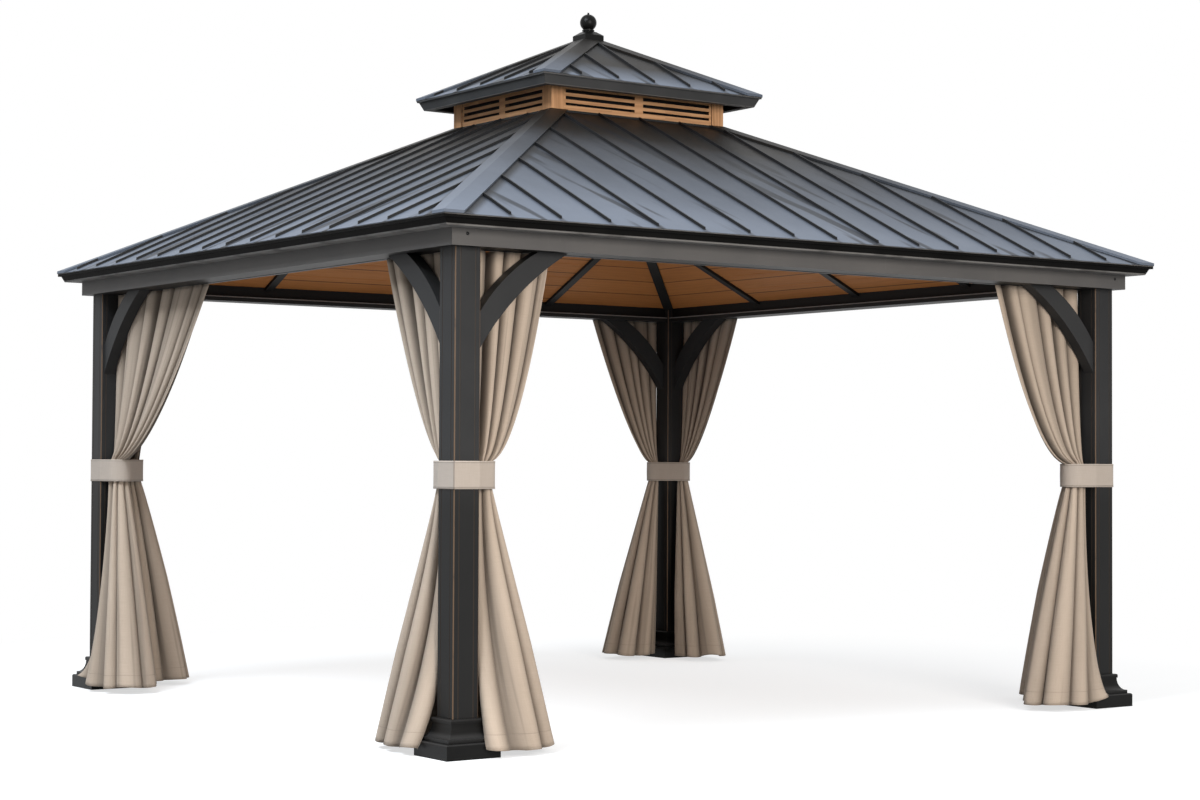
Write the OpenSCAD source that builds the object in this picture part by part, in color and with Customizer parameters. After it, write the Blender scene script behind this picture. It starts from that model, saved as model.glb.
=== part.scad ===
// Hardtop garden gazebo: four posts, a hipped roof of standing-seam sheet in two tiers,
// a louvred lantern between the tiers, a boarded ceiling and eight tied-back curtains.
// Millimetres, Z up, origin on the ground in the middle of the four posts, front towards -Y.

/* [Footprint] */
// Distance between post centres along the front
pitch_x = 3640; // [3000:10:4400]
// Distance between post centres along the sides
pitch_y = 3440; // [3000:10:4400]

/* [Posts] */
// Width of the square post tube
post_w = 120; // [100:1:140]
// Wall of the post tube
post_wall = 4; // [3:0.5:6]
// Radius of the long edges of the tube
post_edge = 6; // [2:0.5:10]
// Width of the two grooves in each face
groove_w = 4; // [3:0.5:10]
// Depth of the grooves
groove_d = 1.2; // [0.5:0.1:2.5]
// Distance from the edge of the post to the middle of a groove
groove_in = 25; // [18:1:32]
// How far the post runs up into the notch of the beams
post_lap = 70; // [40:1:74]

/* [Feet] */
// Room between the foot plate and the wall of the skirt around it
plate_gap = 18; // [8:1:24]
// Thickness of the foot plate
plate_t = 8; // [5:0.5:12]
// Distance from the edge of a plate to the middle of an anchor hole
anchor_edge = 20; // [14:1:24]
// Diameter of an anchor hole
anchor_d = 13; // [9:0.5:16]

/* [Post skirts] */
// Side of the block at the foot of a skirt
skirt_w = 250; // [236:1:280]
// Height of that block
skirt_block_h = 62; // [50:1:80]
// Side of the step above the block
skirt_step_w = 216; // [200:1:228]
// Height of the step
skirt_step_h = 16; // [8:1:24]
// Height of the hollow moulding above the step
skirt_cove_h = 58; // [40:1:80]
// Side of the moulding where it meets the collar
skirt_neck_w = 144; // [134:1:156]
// Height of the collar at the top
skirt_collar_h = 18; // [10:1:28]
// How far the collar stands out from the neck
skirt_collar_out = 4; // [1:0.5:8]
// Wall of the block
skirt_wall = 7; // [4:0.5:9]

/* [Beams] */
// Height of the underside of the beams
beam_z = 2020; // [1900:5:2300]
// Height of a beam
beam_h = 150; // [120:1:154]
// Distance from the post centre line to the outer face of a beam
beam_out = 103; // [90:1:115]
// Distance from the post centre line to the inner face of a beam
beam_in = 24; // [18:1:30]
// Wall of the beam channel
beam_wall = 4; // [3:0.5:6]

/* [Knee braces] */
// Run of a brace along the beam, from the post face to the far end of its lower edge
brace_run = 430; // [360:5:500]
// Drop of a brace down the post to the foot of its lower edge
brace_drop = 408; // [340:5:470]
// Width of the end of a brace where it meets the beam or the post
brace_end = 146; // [100:1:180]
// Thickness of a brace
brace_t = 58; // [40:1:58]
// Distance from the outer face of the post back to the brace
brace_back = 14; // [14:1:24]
// Bow of the lower edge
brace_bow = 36; // [15:1:60]

/* [Curtain rails] */
// Height of a curtain rail
rail_h = 26; // [20:1:32]
// Width of a curtain rail
rail_w = 26; // [20:1:28]
// How far the rail hangs below the beam
rail_drop = 2; // [0:1:6]

/* [Curtains and ties] */
// Gathered length of a curtain along the rail
curtain_top = 545; // [450:5:700]
// Gathered length of the three curtains that are drawn tighter
curtain_top_tight = 420; // [350:5:545]
// Depth of the folds at the rail
curtain_top_depth = 46; // [30:1:46]
// Depth of a curtain that hangs outside the braces, under the beam
curtain_out_depth = 40; // [30:1:44]
// How far outwards from the post line its tied bundle lies
bundle_out = 30; // [20:1:36]
// Height of the middle of the tie band
tie_z = 1115; // [900:5:1250]
// Height of the tie band
tie_h = 112; // [80:1:140]
// Thickness of the tie band
tie_t = 3; // [2:0.5:5]
// Radius of a tied bundle
bundle_r = 57; // [50:1:57]
// Half length of the hem
hem_half = 178; // [140:1:190]
// Half depth of the hem
hem_deep = 160; // [120:1:165]
// Height of the hem above the ground
hem_z = 28; // [10:1:60]
// Depth of the pleats as a share of the width
pleat = 0.09; // [0.02:0.01:0.12]

/* [Lower roof] */
// Distance from the post centre line to the eave lip
eave_out = 197; // [170:1:230]
// Height of the eave lip above the underside of the beams
eave_up = 114; // [114:1:130]
// Rise of the roof from the eave lip to the foot of the lantern
roof_rise = 706; // [680:1:780]
// Thickness of the roof sheet
sheet_t = 2; // [1:0.5:3]
// How far the sheet reaches past the eave lip
sheet_drip = 3; // [1:0.5:6]
// Distance between standing seams
seam_pitch = 243; // [200:1:300]
// Width of a standing seam at its foot
seam_w = 12; // [10:1:22]
// Width of a standing seam at its top
seam_top_w = 7; // [5:1:9]
// Height of a standing seam above the sheet
seam_h = 12; // [9:1:26]
// Distance from the eave lip to the end of a seam
seam_stop = 16; // [8:1:40]
// Width of one wing of a hip cap
cap_w = 66; // [50:1:90]
// Height of a hip cap above the sheet
cap_h = 11; // [8:1:24]
// Thickness of the hip cap sheet
cap_t = 2; // [1:0.5:3]

/* [Eave trim] */
// Height of the eave trim
trim_h = 44; // [36:1:52]
// Height of the upright lip at the top of the trim
trim_lip = 15; // [10:1:18]
// Step back under the lip
trim_step = 13; // [8:1:16]
// How far the foot of the slanting face lies behind the lip
trim_lean = 27; // [20:1:32]
// Thickness of the trim
trim_t = 3; // [2:0.5:4]

/* [Ceiling and rafters] */
// Height of the lower edge of the ceiling above the underside of the beams
ceiling_up = 80; // [79:1:90]
// Thickness of the ceiling boards
ceiling_t = 12; // [8:1:18]
// How far the rafters show below the ceiling
rafter_show = 20; // [10:1:30]
// Width of a side rafter
rafter_w = 46; // [36:1:60]
// Width of a hip rafter
hip_rafter_w = 56; // [40:1:70]

/* [Lantern] */
// Width of the lantern along the front
lantern_w = 1040; // [800:10:1300]
// Depth of the lantern from front to back
lantern_d = 880; // [700:10:1300]
// How far the roof ring stands out from the lantern walls
ring_out = 3; // [1:0.5:6]
// Wall of the roof ring
ring_t = 34; // [26:1:44]
// Height of the ring that shows above the roof sheet
ring_show = 11; // [6:1:30]
// Height of the lantern walls
lantern_h = 135; // [120:1:160]
// Side of a lantern corner post
lantern_post = 72; // [50:1:90]
// Depth of a louvre panel
louvre_deep = 28; // [22:1:34]
// Set-back of the louvre panels behind the corner posts
louvre_back = 5; // [2:1:6]
// Height of the bottom rail of a louvre panel
louvre_foot = 24; // [14:1:30]
// Height of the top rail of a louvre panel
louvre_head = 34; // [24:1:40]
// Width of the end stiles of a louvre panel
louvre_stile = 14; // [10:1:20]
// Width of the middle stile of a louvre panel
louvre_mid = 50; // [30:1:60]
// Number of slats in a bay
louvre_n = 2; // [1:1:3]
// Thickness of a slat
slat_t = 16; // [10:1:17]
// Rise of a slat from its front edge to its back edge
slat_rise = 4; // [3:1:12]

/* [Upper roof] */
// Overhang of the upper eave beyond the lantern walls
upper_out = 137; // [110:1:180]
// Height of the upper eave lip above the lantern walls
upper_up = 10; // [4:1:20]
// Rise of the upper roof
upper_rise = 308; // [280:1:360]
// Wall of that frame
head_t = 40; // [30:1:48]
// Width of a bar under an upper hip
upper_bar_w = 34; // [24:1:40]
// Depth of a bar under an upper hip
upper_bar_h = 30; // [24:1:34]
// Distance between the seams of the upper roof
upper_seam_pitch = 216; // [180:1:260]
// Depth of the upper eave trim
upper_trim_deep = 62; // [50:1:80]
// Height of the upper eave trim
upper_trim_h = 50; // [40:1:60]
// Height of the lip of the upper eave trim
upper_trim_lip = 9; // [6:1:14]

/* [Finial] */
// Side of the square pad
pad_w = 112; // [96:1:130]
// Height of the pad above the point of the roof
pad_up = 12; // [6:1:24]
// Height of the sloping top of the pad
pad_slope = 20; // [8:1:28]
// Radius of the neck
neck_r = 24; // [14:1:28]
// Height of the neck
neck_h = 12; // [8:1:24]
// Radius of the ball
ball_r = 42; // [34:1:52]
// Height of the tip above the ball
tip_h = 8; // [4:1:14]

/* [Fits] */
// Clearance between pieces that are assembled against each other
fit = 0.3; // [0.2:0.1:0.5]

// Name of the piece to draw, or all

/* [Hidden] */

$fn = 48;
charcoal = [0.27, 0.26, 0.26];
slate = [0.22, 0.24, 0.28];
board = [0.61, 0.42, 0.24];
pale_wood = [0.71, 0.51, 0.31];
taupe = [0.70, 0.63, 0.55];
black = [0.14, 0.14, 0.15];

// Far enough to cut across the whole object
far = 6000;
post_h = post_w / 2;
post_top = beam_z + post_lap;
beam_top = beam_z + beam_h;

// Sides are numbered 0 front, 1 right, 2 back, 3 left
function half_len(i) = (i % 2 == 0 ? pitch_x : pitch_y) / 2;
function half_dep(i) = (i % 2 == 0 ? pitch_y : pitch_x) / 2;

plate_w = skirt_w - 2 * (skirt_wall + plate_gap);
anchor_pitch = plate_w - 2 * anchor_edge;

eave_z = beam_z + eave_up;
eave_x = pitch_x / 2 + eave_out;
eave_y = pitch_y / 2 + eave_out;
lantern_x = lantern_w / 2;
lantern_y = lantern_d / 2;
lantern_z = eave_z + roof_rise;
function eave_len(i) = half_len(i) + eave_out;
function eave_dep(i) = half_dep(i) + eave_out;
function lantern_len(i) = i % 2 == 0 ? lantern_x : lantern_y;
function lantern_dep(i) = i % 2 == 0 ? lantern_y : lantern_x;

// Horizontal run and pitch of each lower slope, and how its plan narrows towards the lantern
function run(i) = eave_dep(i) - lantern_dep(i);
function slope(i) = atan(roof_rise / run(i));
function narrow(i) = (eave_len(i) - lantern_len(i)) / run(i);

// How far the ceiling and the rafters reach straight down below the roof sheet
ceiling_drop = eave_up + (eave_out + beam_in) * min(tan(slope(0)), tan(slope(1))) - ceiling_up;
rafter_drop = ceiling_drop + rafter_show;
ring_top = lantern_z + ring_show;
ring_z = lantern_z - rafter_drop;
head_z = ring_top + lantern_h;
upper_x = lantern_x + upper_out;
upper_y = lantern_y + upper_out;
upper_z = head_z + upper_up;
apex_z = upper_z + upper_rise;
function upper_len(i) = i % 2 == 0 ? upper_x : upper_y;
function upper_dep(i) = i % 2 == 0 ? upper_y : upper_x;
finial_z = apex_z - 60;
seam_clear = 2;
skirt_h = skirt_block_h + skirt_step_h + skirt_cove_h + skirt_collar_h;

hip_foot = [eave_x, eave_y, eave_z];
hip_head = [lantern_x, lantern_y, lantern_z];
upper_foot = [upper_x, upper_y, upper_z];
upper_head = [0, 0, apex_z];

// Direction, side and upright of a hip line, and the two roof slopes seen square to it
function unit(v) = v / norm(v);
function hip_dir(a, b) = unit(b - a);
function hip_side(a, b) = unit([-hip_dir(a, b).y, hip_dir(a, b).x, 0]);
function hip_up(a, b) = cross(hip_dir(a, b), hip_side(a, b));
function wing_r(a, b) = unit([-hip_side(a, b).y, -hip_up(a, b).y]);
function wing_l(a, b) = unit([-hip_side(a, b).x, -hip_up(a, b).x]);
function norm_r(a, b) = [-wing_r(a, b).y, wing_r(a, b).x];
function norm_l(a, b) = [wing_l(a, b).y, -wing_l(a, b).x];
function on_r(a, b, w, h) = w * wing_r(a, b) + h * norm_r(a, b);
function on_l(a, b, w, h) = w * wing_l(a, b) + h * norm_l(a, b);
function ridge(a, b, h) = h * (norm_r(a, b) + norm_l(a, b)) / (1 + norm_r(a, b) * norm_l(a, b));

// Placing

module on_side(i) {
    rotate([0, 0, 90 * i]) children();
}

module at_corner(right, back) {
    mirror([right, 0, 0]) mirror([0, back, 0]) translate([-pitch_x / 2, -pitch_y / 2, 0]) children();
}

module each_corner() {
    for (right = [0, 1], back = [0, 1]) at_corner(right, back) children();
}

module each_quarter() {
    for (right = [0, 1], back = [0, 1]) mirror([right, 0, 0]) mirror([0, back, 0]) children();
}

// Lays a profile square to a hip, with its upright along the drawing's Y
module along_hip(a, b) {
    s = hip_side(a, b);
    u = hip_up(a, b);
    d = hip_dir(a, b);
    place = [[s.x, u.x, d.x, a.x], [s.y, u.y, d.y, a.y], [s.z, u.z, d.z, a.z], [0, 0, 0, 1]];
    multmatrix(place) children();
}

// Sweeps a profile drawn as distance outwards and height along one side
module along_side(len) {
    translate([-len / 2, 0, 0]) rotate([90, 0, 90]) linear_extrude(len) mirror([1, 0]) children();
}

// Upright block with mitred ends over one side, between two distances from a rectangle
module mitre_block(len, dep, inner, outer, gap, z0, z1) {
    m = gap * sqrt(2);
    out = [[-len - outer + m, -dep - outer], [len + outer - m, -dep - outer]];
    in = [[len + inner - m, -dep - inner], [-len - inner + m, -dep - inner]];
    translate([0, 0, z0]) linear_extrude(z1 - z0) polygon(concat(out, in));
}

// Upright block over one lower slope, clear of the hips and of the lantern
module slope_block(i, out, hip_gap, top_gap) {
    y0 = lantern_dep(i) + top_gap;
    y1 = half_dep(i) + out;
    side = hip_gap * norm([1, narrow(i)]);
    x0 = lantern_len(i) + narrow(i) * top_gap - side;
    x1 = lantern_len(i) + narrow(i) * (y1 - lantern_dep(i)) - side;
    linear_extrude(far) polygon([[-x1, -y1], [x1, -y1], [x0, -y0], [-x0, -y0]]);
}

// Turns a drawing from flat to the pitch of a lower slope, hinged at the eave lip
module on_slope(i) {
    translate([0, -eave_dep(i), eave_z]) rotate([slope(i), 0, 0]) children();
}

// Layer parallel to a lower slope, between two heights measured straight up from the sheet
module slope_layer(i, z0, z1) {
    on_slope(i) translate([-far / 2, -far / 4, z0 * cos(slope(i))])
        cube([far, far / 1.5, (z1 - z0) * cos(slope(i))]);
}

// Posts and feet

module post_outline(w, r) {
    square([w - 2 * r, w], center = true);
    square([w, w - 2 * r], center = true);
    for (x = [-1, 1], y = [-1, 1]) translate([x, y] * (w / 2 - r)) circle(r);
}

module post_grooves() {
    for (a = [0:90:270], x = [-1, 1])
        rotate(a) translate([x * (post_h - groove_in) - groove_w / 2, post_h - groove_d])
            square([groove_w, 2 * groove_d]);
}

module post(right, back) {
    color(charcoal) at_corner(right, back) translate([0, 0, plate_t])
        linear_extrude(post_top - plate_t) difference() {
            post_outline(post_w, post_edge);
            post_grooves();
            square(post_w - 2 * post_wall, center = true);
        }
}

module foot_plates() {
    color(black) each_corner() difference() {
        translate([-plate_w / 2, -plate_w / 2, 0]) cube([plate_w, plate_w, plate_t]);
        for (x = [-1, 1], y = [-1, 1])
            translate([x * anchor_pitch / 2, y * anchor_pitch / 2, -1])
                cylinder(d = anchor_d, h = plate_t + 2);
    }
}

// Half outline of a skirt: block, step, hollow moulding and collar
function skirt_cove(step, neck, z0, h) = [for (t = [0:15:90])
    [step - (step - neck) * sin(t), z0 + h * (1 - cos(t))]];

module skirt_face() {
    z1 = skirt_block_h + skirt_step_h;
    z2 = z1 + skirt_cove_h;
    foot = skirt_w / 2;
    step = skirt_step_w / 2;
    neck = skirt_neck_w / 2;
    block = [[foot, 0], [foot, skirt_block_h - 5], [foot - 5, skirt_block_h], [step, skirt_block_h]];
    cove = skirt_cove(step - 4, neck, z1, skirt_cove_h);
    collar = [[neck + skirt_collar_out, z2], [neck + skirt_collar_out, skirt_h - 4], [neck, skirt_h]];
    edge = concat(block, [[step, z1]], cove, collar);
    last = len(edge) - 1;
    polygon(concat(edge, [for (k = [last:-1:0]) [-edge[k].x, edge[k].y]]));
}

module skirt() {
    hole = post_w + 2 * fit;
    room = skirt_w - 2 * skirt_wall;
    difference() {
        intersection() {
            rotate([90, 0, 0]) translate([0, 0, -skirt_w]) linear_extrude(2 * skirt_w) skirt_face();
            rotate([90, 0, 90]) translate([0, 0, -skirt_w]) linear_extrude(2 * skirt_w) skirt_face();
        }
        translate([-hole / 2, -hole / 2, -1]) cube([hole, hole, skirt_h + 2]);
        translate([-room / 2, -room / 2, -1]) cube([room, room, skirt_block_h - skirt_wall + 1]);
    }
}

module post_skirts() {
    color(black) each_corner() skirt();
}

// Beams, braces and rails

// Channel, open at the top, notched over the posts and mitred at the corners
module beam(i) {
    notch = post_w + 2 * fit;
    reach = half_len(i) - post_h - fit - beam_wall;
    color(charcoal) on_side(i) difference() {
        mitre_block(half_len(i), half_dep(i), -beam_in, beam_out, fit, beam_z, beam_top);
        for (s = [-1, 1]) translate([s * half_len(i), -half_dep(i), 0])
            translate([-notch / 2, -notch / 2, 0]) cube([notch, notch, post_top + fit]);
        translate([-reach, -half_dep(i) - beam_out + beam_wall, beam_z + beam_wall])
            cube([2 * reach, beam_out + beam_in - 2 * beam_wall, beam_h]);
    }
}

// Disc whose rim passes through two points and bows away from the opening
module bow_disc(a, b, bow) {
    chord = norm(b - a);
    r = (chord * chord / 4 + bow * bow) / (2 * bow);
    n = unit([(b - a).y, -(b - a).x]);
    translate((a + b) / 2 + n * (r - bow)) circle(r, $fn = 96);
}

module brace_face() {
    u0 = post_h + fit;
    z1 = beam_z - fit;
    low = [[u0, beam_z - brace_drop], [post_h + brace_run, z1]];
    high = [[u0, low[0].y + brace_end], [low[1].x - brace_end, z1]];
    ratio = norm(high[1] - high[0]) / norm(low[1] - low[0]);
    difference() {
        intersection() {
            translate([u0, low[0].y]) square([brace_run, z1 - low[0].y]);
            bow_disc(high[0], high[1], brace_bow * ratio);
        }
        bow_disc(low[0], low[1], brace_bow);
    }
}

module knee_braces() {
    y1 = post_h - brace_back - brace_t;
    color(charcoal) for (i = [0:3], s = [0, 1])
        on_side(i) mirror([s, 0, 0]) translate([-half_len(i), -half_dep(i) - y1, 0])
            rotate([90, 0, 0]) linear_extrude(brace_t) brace_face();
}

module curtain_rails() {
    color(black) for (i = [0:3]) {
        reach = half_len(i) - post_h - fit;
        on_side(i) translate([-reach, -half_dep(i) + beam_in, beam_z - rail_drop])
            cube([2 * reach, rail_w, rail_h]);
    }
}

// Lower roof

// Folded eave section: upright lip, step, slanting face and bottom flange, open at the back
module trim_face(deep, rise, h, lip) {
    flange = trim_t / cos(atan(rise));
    step = trim_step * lip / trim_lip;
    front = [[-deep, -h], [-trim_lean, -h], [-step, -lip], [0, -lip]];
    back = deep + 1;
    in_low = [[-back, trim_t - h], [-trim_lean - trim_t, trim_t - h]];
    in_mid = [[-step - trim_t, trim_t - lip], [-trim_t, trim_t - lip]];
    in_top = [[-trim_t, trim_t * rise - flange], [-back, back * rise - flange]];
    difference() {
        polygon(concat(front, [[0, 0], [-deep, deep * rise]]));
        polygon(concat(in_low, in_mid, in_top));
    }
}

module trim_run(len, dep, z, deep, rise, h, lip) {
    intersection() {
        translate([0, -dep, z]) along_side(2 * len + 100) trim_face(deep, rise, h, lip);
        mitre_block(len, dep, -2 * deep, 20, fit, z - 200, z + 200);
    }
}

module eave_trims() {
    color(charcoal) for (i = [0:3])
        on_side(i) trim_run(eave_len(i), eave_dep(i), eave_z, eave_out - beam_out,
            tan(slope(i)), trim_h, trim_lip);
}

module seam_face() {
    foot = sheet_t / 2;
    top = sheet_t + seam_h;
    polygon([[-seam_w / 2, foot], [seam_w / 2, foot], [seam_top_w / 2, top], [-seam_top_w / 2, top]]);
}

module seam(len) {
    translate([0, len, 0]) rotate([90, 0, 0]) linear_extrude(len) seam_face();
}

module roof_slope(i) {
    top_gap = ring_out + fit;
    n = floor((eave_len(i) - cap_w * norm([1, narrow(i)]) - seam_pitch / 3) / seam_pitch);
    color(slate) on_side(i) {
        intersection() {
            slope_layer(i, 0, sheet_t / cos(slope(i)));
            slope_block(i, eave_out + sheet_drip, 1, top_gap);
        }
        intersection() {
            on_slope(i) for (k = [-n:n]) translate([k * seam_pitch, 0, 0]) seam(1.2 * run(i));
            slope_block(i, eave_out - seam_stop, cap_w + seam_clear, top_gap);
        }
    }
}

// Section across a hip: two wings of width w between two levels above the slopes
module cap_face(a, b, w, foot, top) {
    polygon([on_r(a, b, w, foot), on_r(a, b, w, top), ridge(a, b, top),
        on_l(a, b, w, top), on_l(a, b, w, foot), ridge(a, b, foot)]);
}

module cap_run(a, b, w, foot, top) {
    along_hip(a, b) translate([0, 0, -150]) linear_extrude(norm(b - a) + 300) cap_face(a, b, w, foot, top);
}

// Folded cap over a hip, with its two edges and its lower end turned down to the sheet
module hip_cap(a, b, x, y) {
    foot = sheet_t + fit;
    top = sheet_t + cap_h;
    difference() {
        intersection() {
            cap_run(a, b, cap_w, foot, top);
            translate([fit, fit, 0]) cube([x - fit, y - fit, far]);
        }
        intersection() {
            cap_run(a, b, cap_w - cap_t, foot - 1, top - cap_t);
            cube([x - cap_t, y - cap_t, far]);
        }
    }
}

module hip_caps() {
    hole_x = lantern_x + ring_out + fit;
    hole_y = lantern_y + ring_out + fit;
    color(slate) each_quarter() difference() {
        hip_cap(hip_foot, hip_head, eave_x + sheet_drip, eave_y + sheet_drip);
        cube([hole_x, hole_y, far]);
    }
}

// Ceiling and rafters

module hip_bar_face(w, top, bottom) {
    polygon([[-w / 2, bottom], [w / 2, bottom], [w / 2, top], [-w / 2, top]]);
}

// Highest level of a square bar that stays under both slopes beside a hip
function bar_top(a, b, w) = w / 2 * min(wing_r(a, b).y / wing_r(a, b).x,
    wing_l(a, b).y / -wing_l(a, b).x) - fit;

// The head bars reach up to the hip bars where these leave the lantern
bar_skew = upper_bar_w / 2 / norm([upper_x, upper_y]);
function leaves_at(k) = min((lantern_x - k * upper_y) / upper_x, (lantern_y + k * upper_x) / upper_y);
head_share = max([for (k = [-1:0.05:1]) leaves_at(k * bar_skew)]);
head_fall = (upper_bar_h - bar_top(upper_foot, upper_head, upper_bar_w)) / hip_up(upper_foot, upper_head).z;
head_h = apex_z - upper_rise * head_share - head_fall - head_z - fit;

module hip_rafters() {
    len = norm(hip_head - hip_foot) + 300;
    bottom = -rafter_drop * hip_up(hip_foot, hip_head).z;
    in_x = pitch_x / 2 - beam_in - fit;
    in_y = pitch_y / 2 - beam_in - fit;
    notch = post_w + 2 * fit;
    color(black) each_quarter() difference() {
        intersection() {
            along_hip(hip_foot, hip_head) translate([0, 0, -150]) linear_extrude(len)
                hip_bar_face(hip_rafter_w, bar_top(hip_foot, hip_head, hip_rafter_w), bottom);
            cube([in_x, in_y, far]);
        }
        cube([lantern_x + ring_out + fit, lantern_y + ring_out + fit, far]);
        translate([pitch_x / 2 - notch / 2, pitch_y / 2 - notch / 2, 0])
            cube([notch, notch, post_top + fit]);
    }
}

// Three rafters on each side, at the quarter points of the beam
function rafter_at(i) = [-half_len(i) / 2, 0, half_len(i) / 2];

module side_rafters() {
    color(black) for (i = [0:3]) on_side(i) intersection() {
        for (u = rafter_at(i)) on_slope(i) {
            deep = rafter_drop * cos(slope(i));
            translate([u - rafter_w / 2, 0, -deep]) cube([rafter_w, 1.3 * run(i), deep - fit]);
        }
        slope_block(i, -beam_in - fit, hip_rafter_w / 2 + fit, ring_out + fit);
    }
}

module ceiling(i) {
    slot = rafter_w + 2 * fit;
    color(board) on_side(i) difference() {
        intersection() {
            slope_layer(i, -ceiling_drop, ceiling_t / cos(slope(i)) - ceiling_drop);
            slope_block(i, -beam_in - fit, hip_rafter_w / 2 + fit, ring_out + fit);
        }
        for (u = rafter_at(i)) translate([u - slot / 2, -far, 0]) cube([slot, far, far]);
    }
}

// Lantern

// Four mitred bars around a rectangle
module ring_bars(x, y, wall, z0, z1) {
    for (i = [0:3]) on_side(i)
        mitre_block(i % 2 == 0 ? x : y, i % 2 == 0 ? y : x, -wall, 0, fit, z0, z1);
}

module roof_ring() {
    color(black) ring_bars(lantern_x + ring_out, lantern_y + ring_out, ring_t, ring_z, ring_top);
}

module lantern_posts() {
    color(pale_wood) each_quarter()
        translate([lantern_x - lantern_post, lantern_y - lantern_post, ring_top])
            cube([lantern_post, lantern_post, lantern_h]);
}

// Slat that falls towards the outside, drawn from the front edge inwards
module slat_face() {
    polygon([[0, 0], [louvre_deep, slat_rise], [louvre_deep, slat_rise + slat_t], [0, slat_t]]);
}

module louvre_panel(i) {
    len = lantern_len(i) - lantern_post - fit;
    room = lantern_h - louvre_foot - louvre_head;
    gap = (room - louvre_n * (slat_t + slat_rise)) / (louvre_n + 1);
    translate([0, -lantern_dep(i) + louvre_back, ring_top]) {
        translate([-len, 0, 0]) cube([2 * len, louvre_deep, louvre_foot]);
        translate([-len, 0, lantern_h - louvre_head]) cube([2 * len, louvre_deep, louvre_head]);
        for (x = [-len, len - louvre_stile])
            translate([x, 0, 0]) cube([louvre_stile, louvre_deep, lantern_h]);
        translate([-louvre_mid / 2, 0, 0]) cube([louvre_mid, louvre_deep, lantern_h]);
        for (k = [0:louvre_n - 1])
            translate([-len + 1, 0, louvre_foot + gap + k * (slat_t + slat_rise + gap)])
                rotate([90, 0, 90]) linear_extrude(2 * len - 2) slat_face();
    }
}

module louvre_panels() {
    color(pale_wood) for (i = [0:3]) on_side(i) louvre_panel(i);
}

// Upper roof

// Four bars on the lantern walls, and four hip bars that rest on them and meet under the finial
module upper_frame() {
    len = norm(upper_head - upper_foot);
    top = bar_top(upper_foot, upper_head, upper_bar_w);
    seat = pad_w / 2 + fit;
    color(black) {
        ring_bars(lantern_x, lantern_y, head_t, head_z, head_z + head_h);
        each_quarter() difference() {
            intersection() {
                along_hip(upper_foot, upper_head) linear_extrude(len)
                    hip_bar_face(upper_bar_w, top, top - upper_bar_h);
                cube([upper_x - upper_trim_deep, upper_y - upper_trim_deep, far]);
            }
            translate([-far, -far, 0]) cube([far + seat, far + seat, far]);
        }
        translate([-pad_w / 2, -pad_w / 2, finial_z - 70]) cube([pad_w, pad_w, 70]);
    }
}

module upper_eave_trims() {
    color(charcoal) for (i = [0:3])
        on_side(i) trim_run(upper_len(i), upper_dep(i), upper_z, upper_trim_deep,
            upper_rise / upper_dep(i), upper_trim_h, upper_trim_lip);
}

// Plan of one face of the upper roof, drawn in from the hips
module upper_plan(i, out, gap) {
    len = upper_len(i);
    dep = upper_dep(i);
    side = gap * norm([len, dep]) / dep;
    wide = len + out * len / dep - side;
    tip = side * dep / len;
    linear_extrude(far) polygon([[-wide, -dep - out], [wide, -dep - out], [0, -tip]]);
}

module upper_slope(i) {
    pitch = atan(upper_rise / upper_dep(i));
    n = floor((upper_len(i) - cap_w * 1.4 - upper_seam_pitch / 8) / upper_seam_pitch);
    hole = pad_w + 2 * fit;
    on_side(i) difference() {
        union() {
            intersection() {
                translate([0, -upper_dep(i), upper_z]) rotate([pitch, 0, 0])
                    translate([-far / 2, -far / 4, 0]) cube([far, far / 2, sheet_t]);
                upper_plan(i, sheet_drip, 1);
            }
            intersection() {
                for (k = [-n:n])
                    translate([k * upper_seam_pitch, -upper_dep(i), upper_z]) rotate([pitch, 0, 0])
                        seam(1.3 * upper_dep(i));
                upper_plan(i, -seam_stop, cap_w + seam_clear);
            }
        }
        translate([-hole / 2, -hole / 2, 0]) cube([hole, hole, far]);
    }
}

module upper_roof() {
    color(slate) for (i = [0:3]) upper_slope(i);
}

module upper_hip_caps() {
    hole = pad_w / 2 + fit;
    color(slate) each_quarter() difference() {
        hip_cap(upper_foot, upper_head, upper_x + sheet_drip, upper_y + sheet_drip);
        cube([hole, hole, far]);
    }
}

// Finial

module pad_top_face() {
    polygon([[-pad_w / 2, 0], [pad_w / 2, 0], [neck_r + 4, pad_slope], [-neck_r - 4, pad_slope]]);
}

module finial() {
    pad_z = apex_z + pad_up;
    neck_z = pad_z + pad_slope;
    ball_z = neck_z + neck_h + ball_r * 0.85;
    color(slate) {
        translate([-pad_w / 2, -pad_w / 2, finial_z]) cube([pad_w, pad_w, pad_z - finial_z]);
        translate([0, 0, pad_z]) intersection() {
            rotate([90, 0, 0]) translate([0, 0, -pad_w]) linear_extrude(2 * pad_w) pad_top_face();
            rotate([90, 0, 90]) translate([0, 0, -pad_w]) linear_extrude(2 * pad_w) pad_top_face();
        }
        translate([0, 0, neck_z]) cylinder(r = neck_r, h = neck_h + ball_r / 2);
        translate([0, 0, neck_z + neck_h / 3]) cylinder(r = neck_r + 7, h = neck_h / 2);
        translate([0, 0, ball_z]) sphere(ball_r);
        translate([0, 0, ball_z]) cylinder(r = 5, h = ball_r + tip_h);
    }
}

// Curtains and ties

rail_z = beam_z - rail_drop - fit;
bundle_u = post_h + 6 + bundle_r;
bundle_y = bundle_r - 40;
rail_y = beam_in + rail_w / 2;
hem_u = skirt_w / 2 + 4 + hem_half;
folds = 7;
ring_n = 28;

// Top and bottom of the tie band
tie_top = tie_z + tie_h / 2;
tie_low = tie_z - tie_h / 2;
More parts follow.
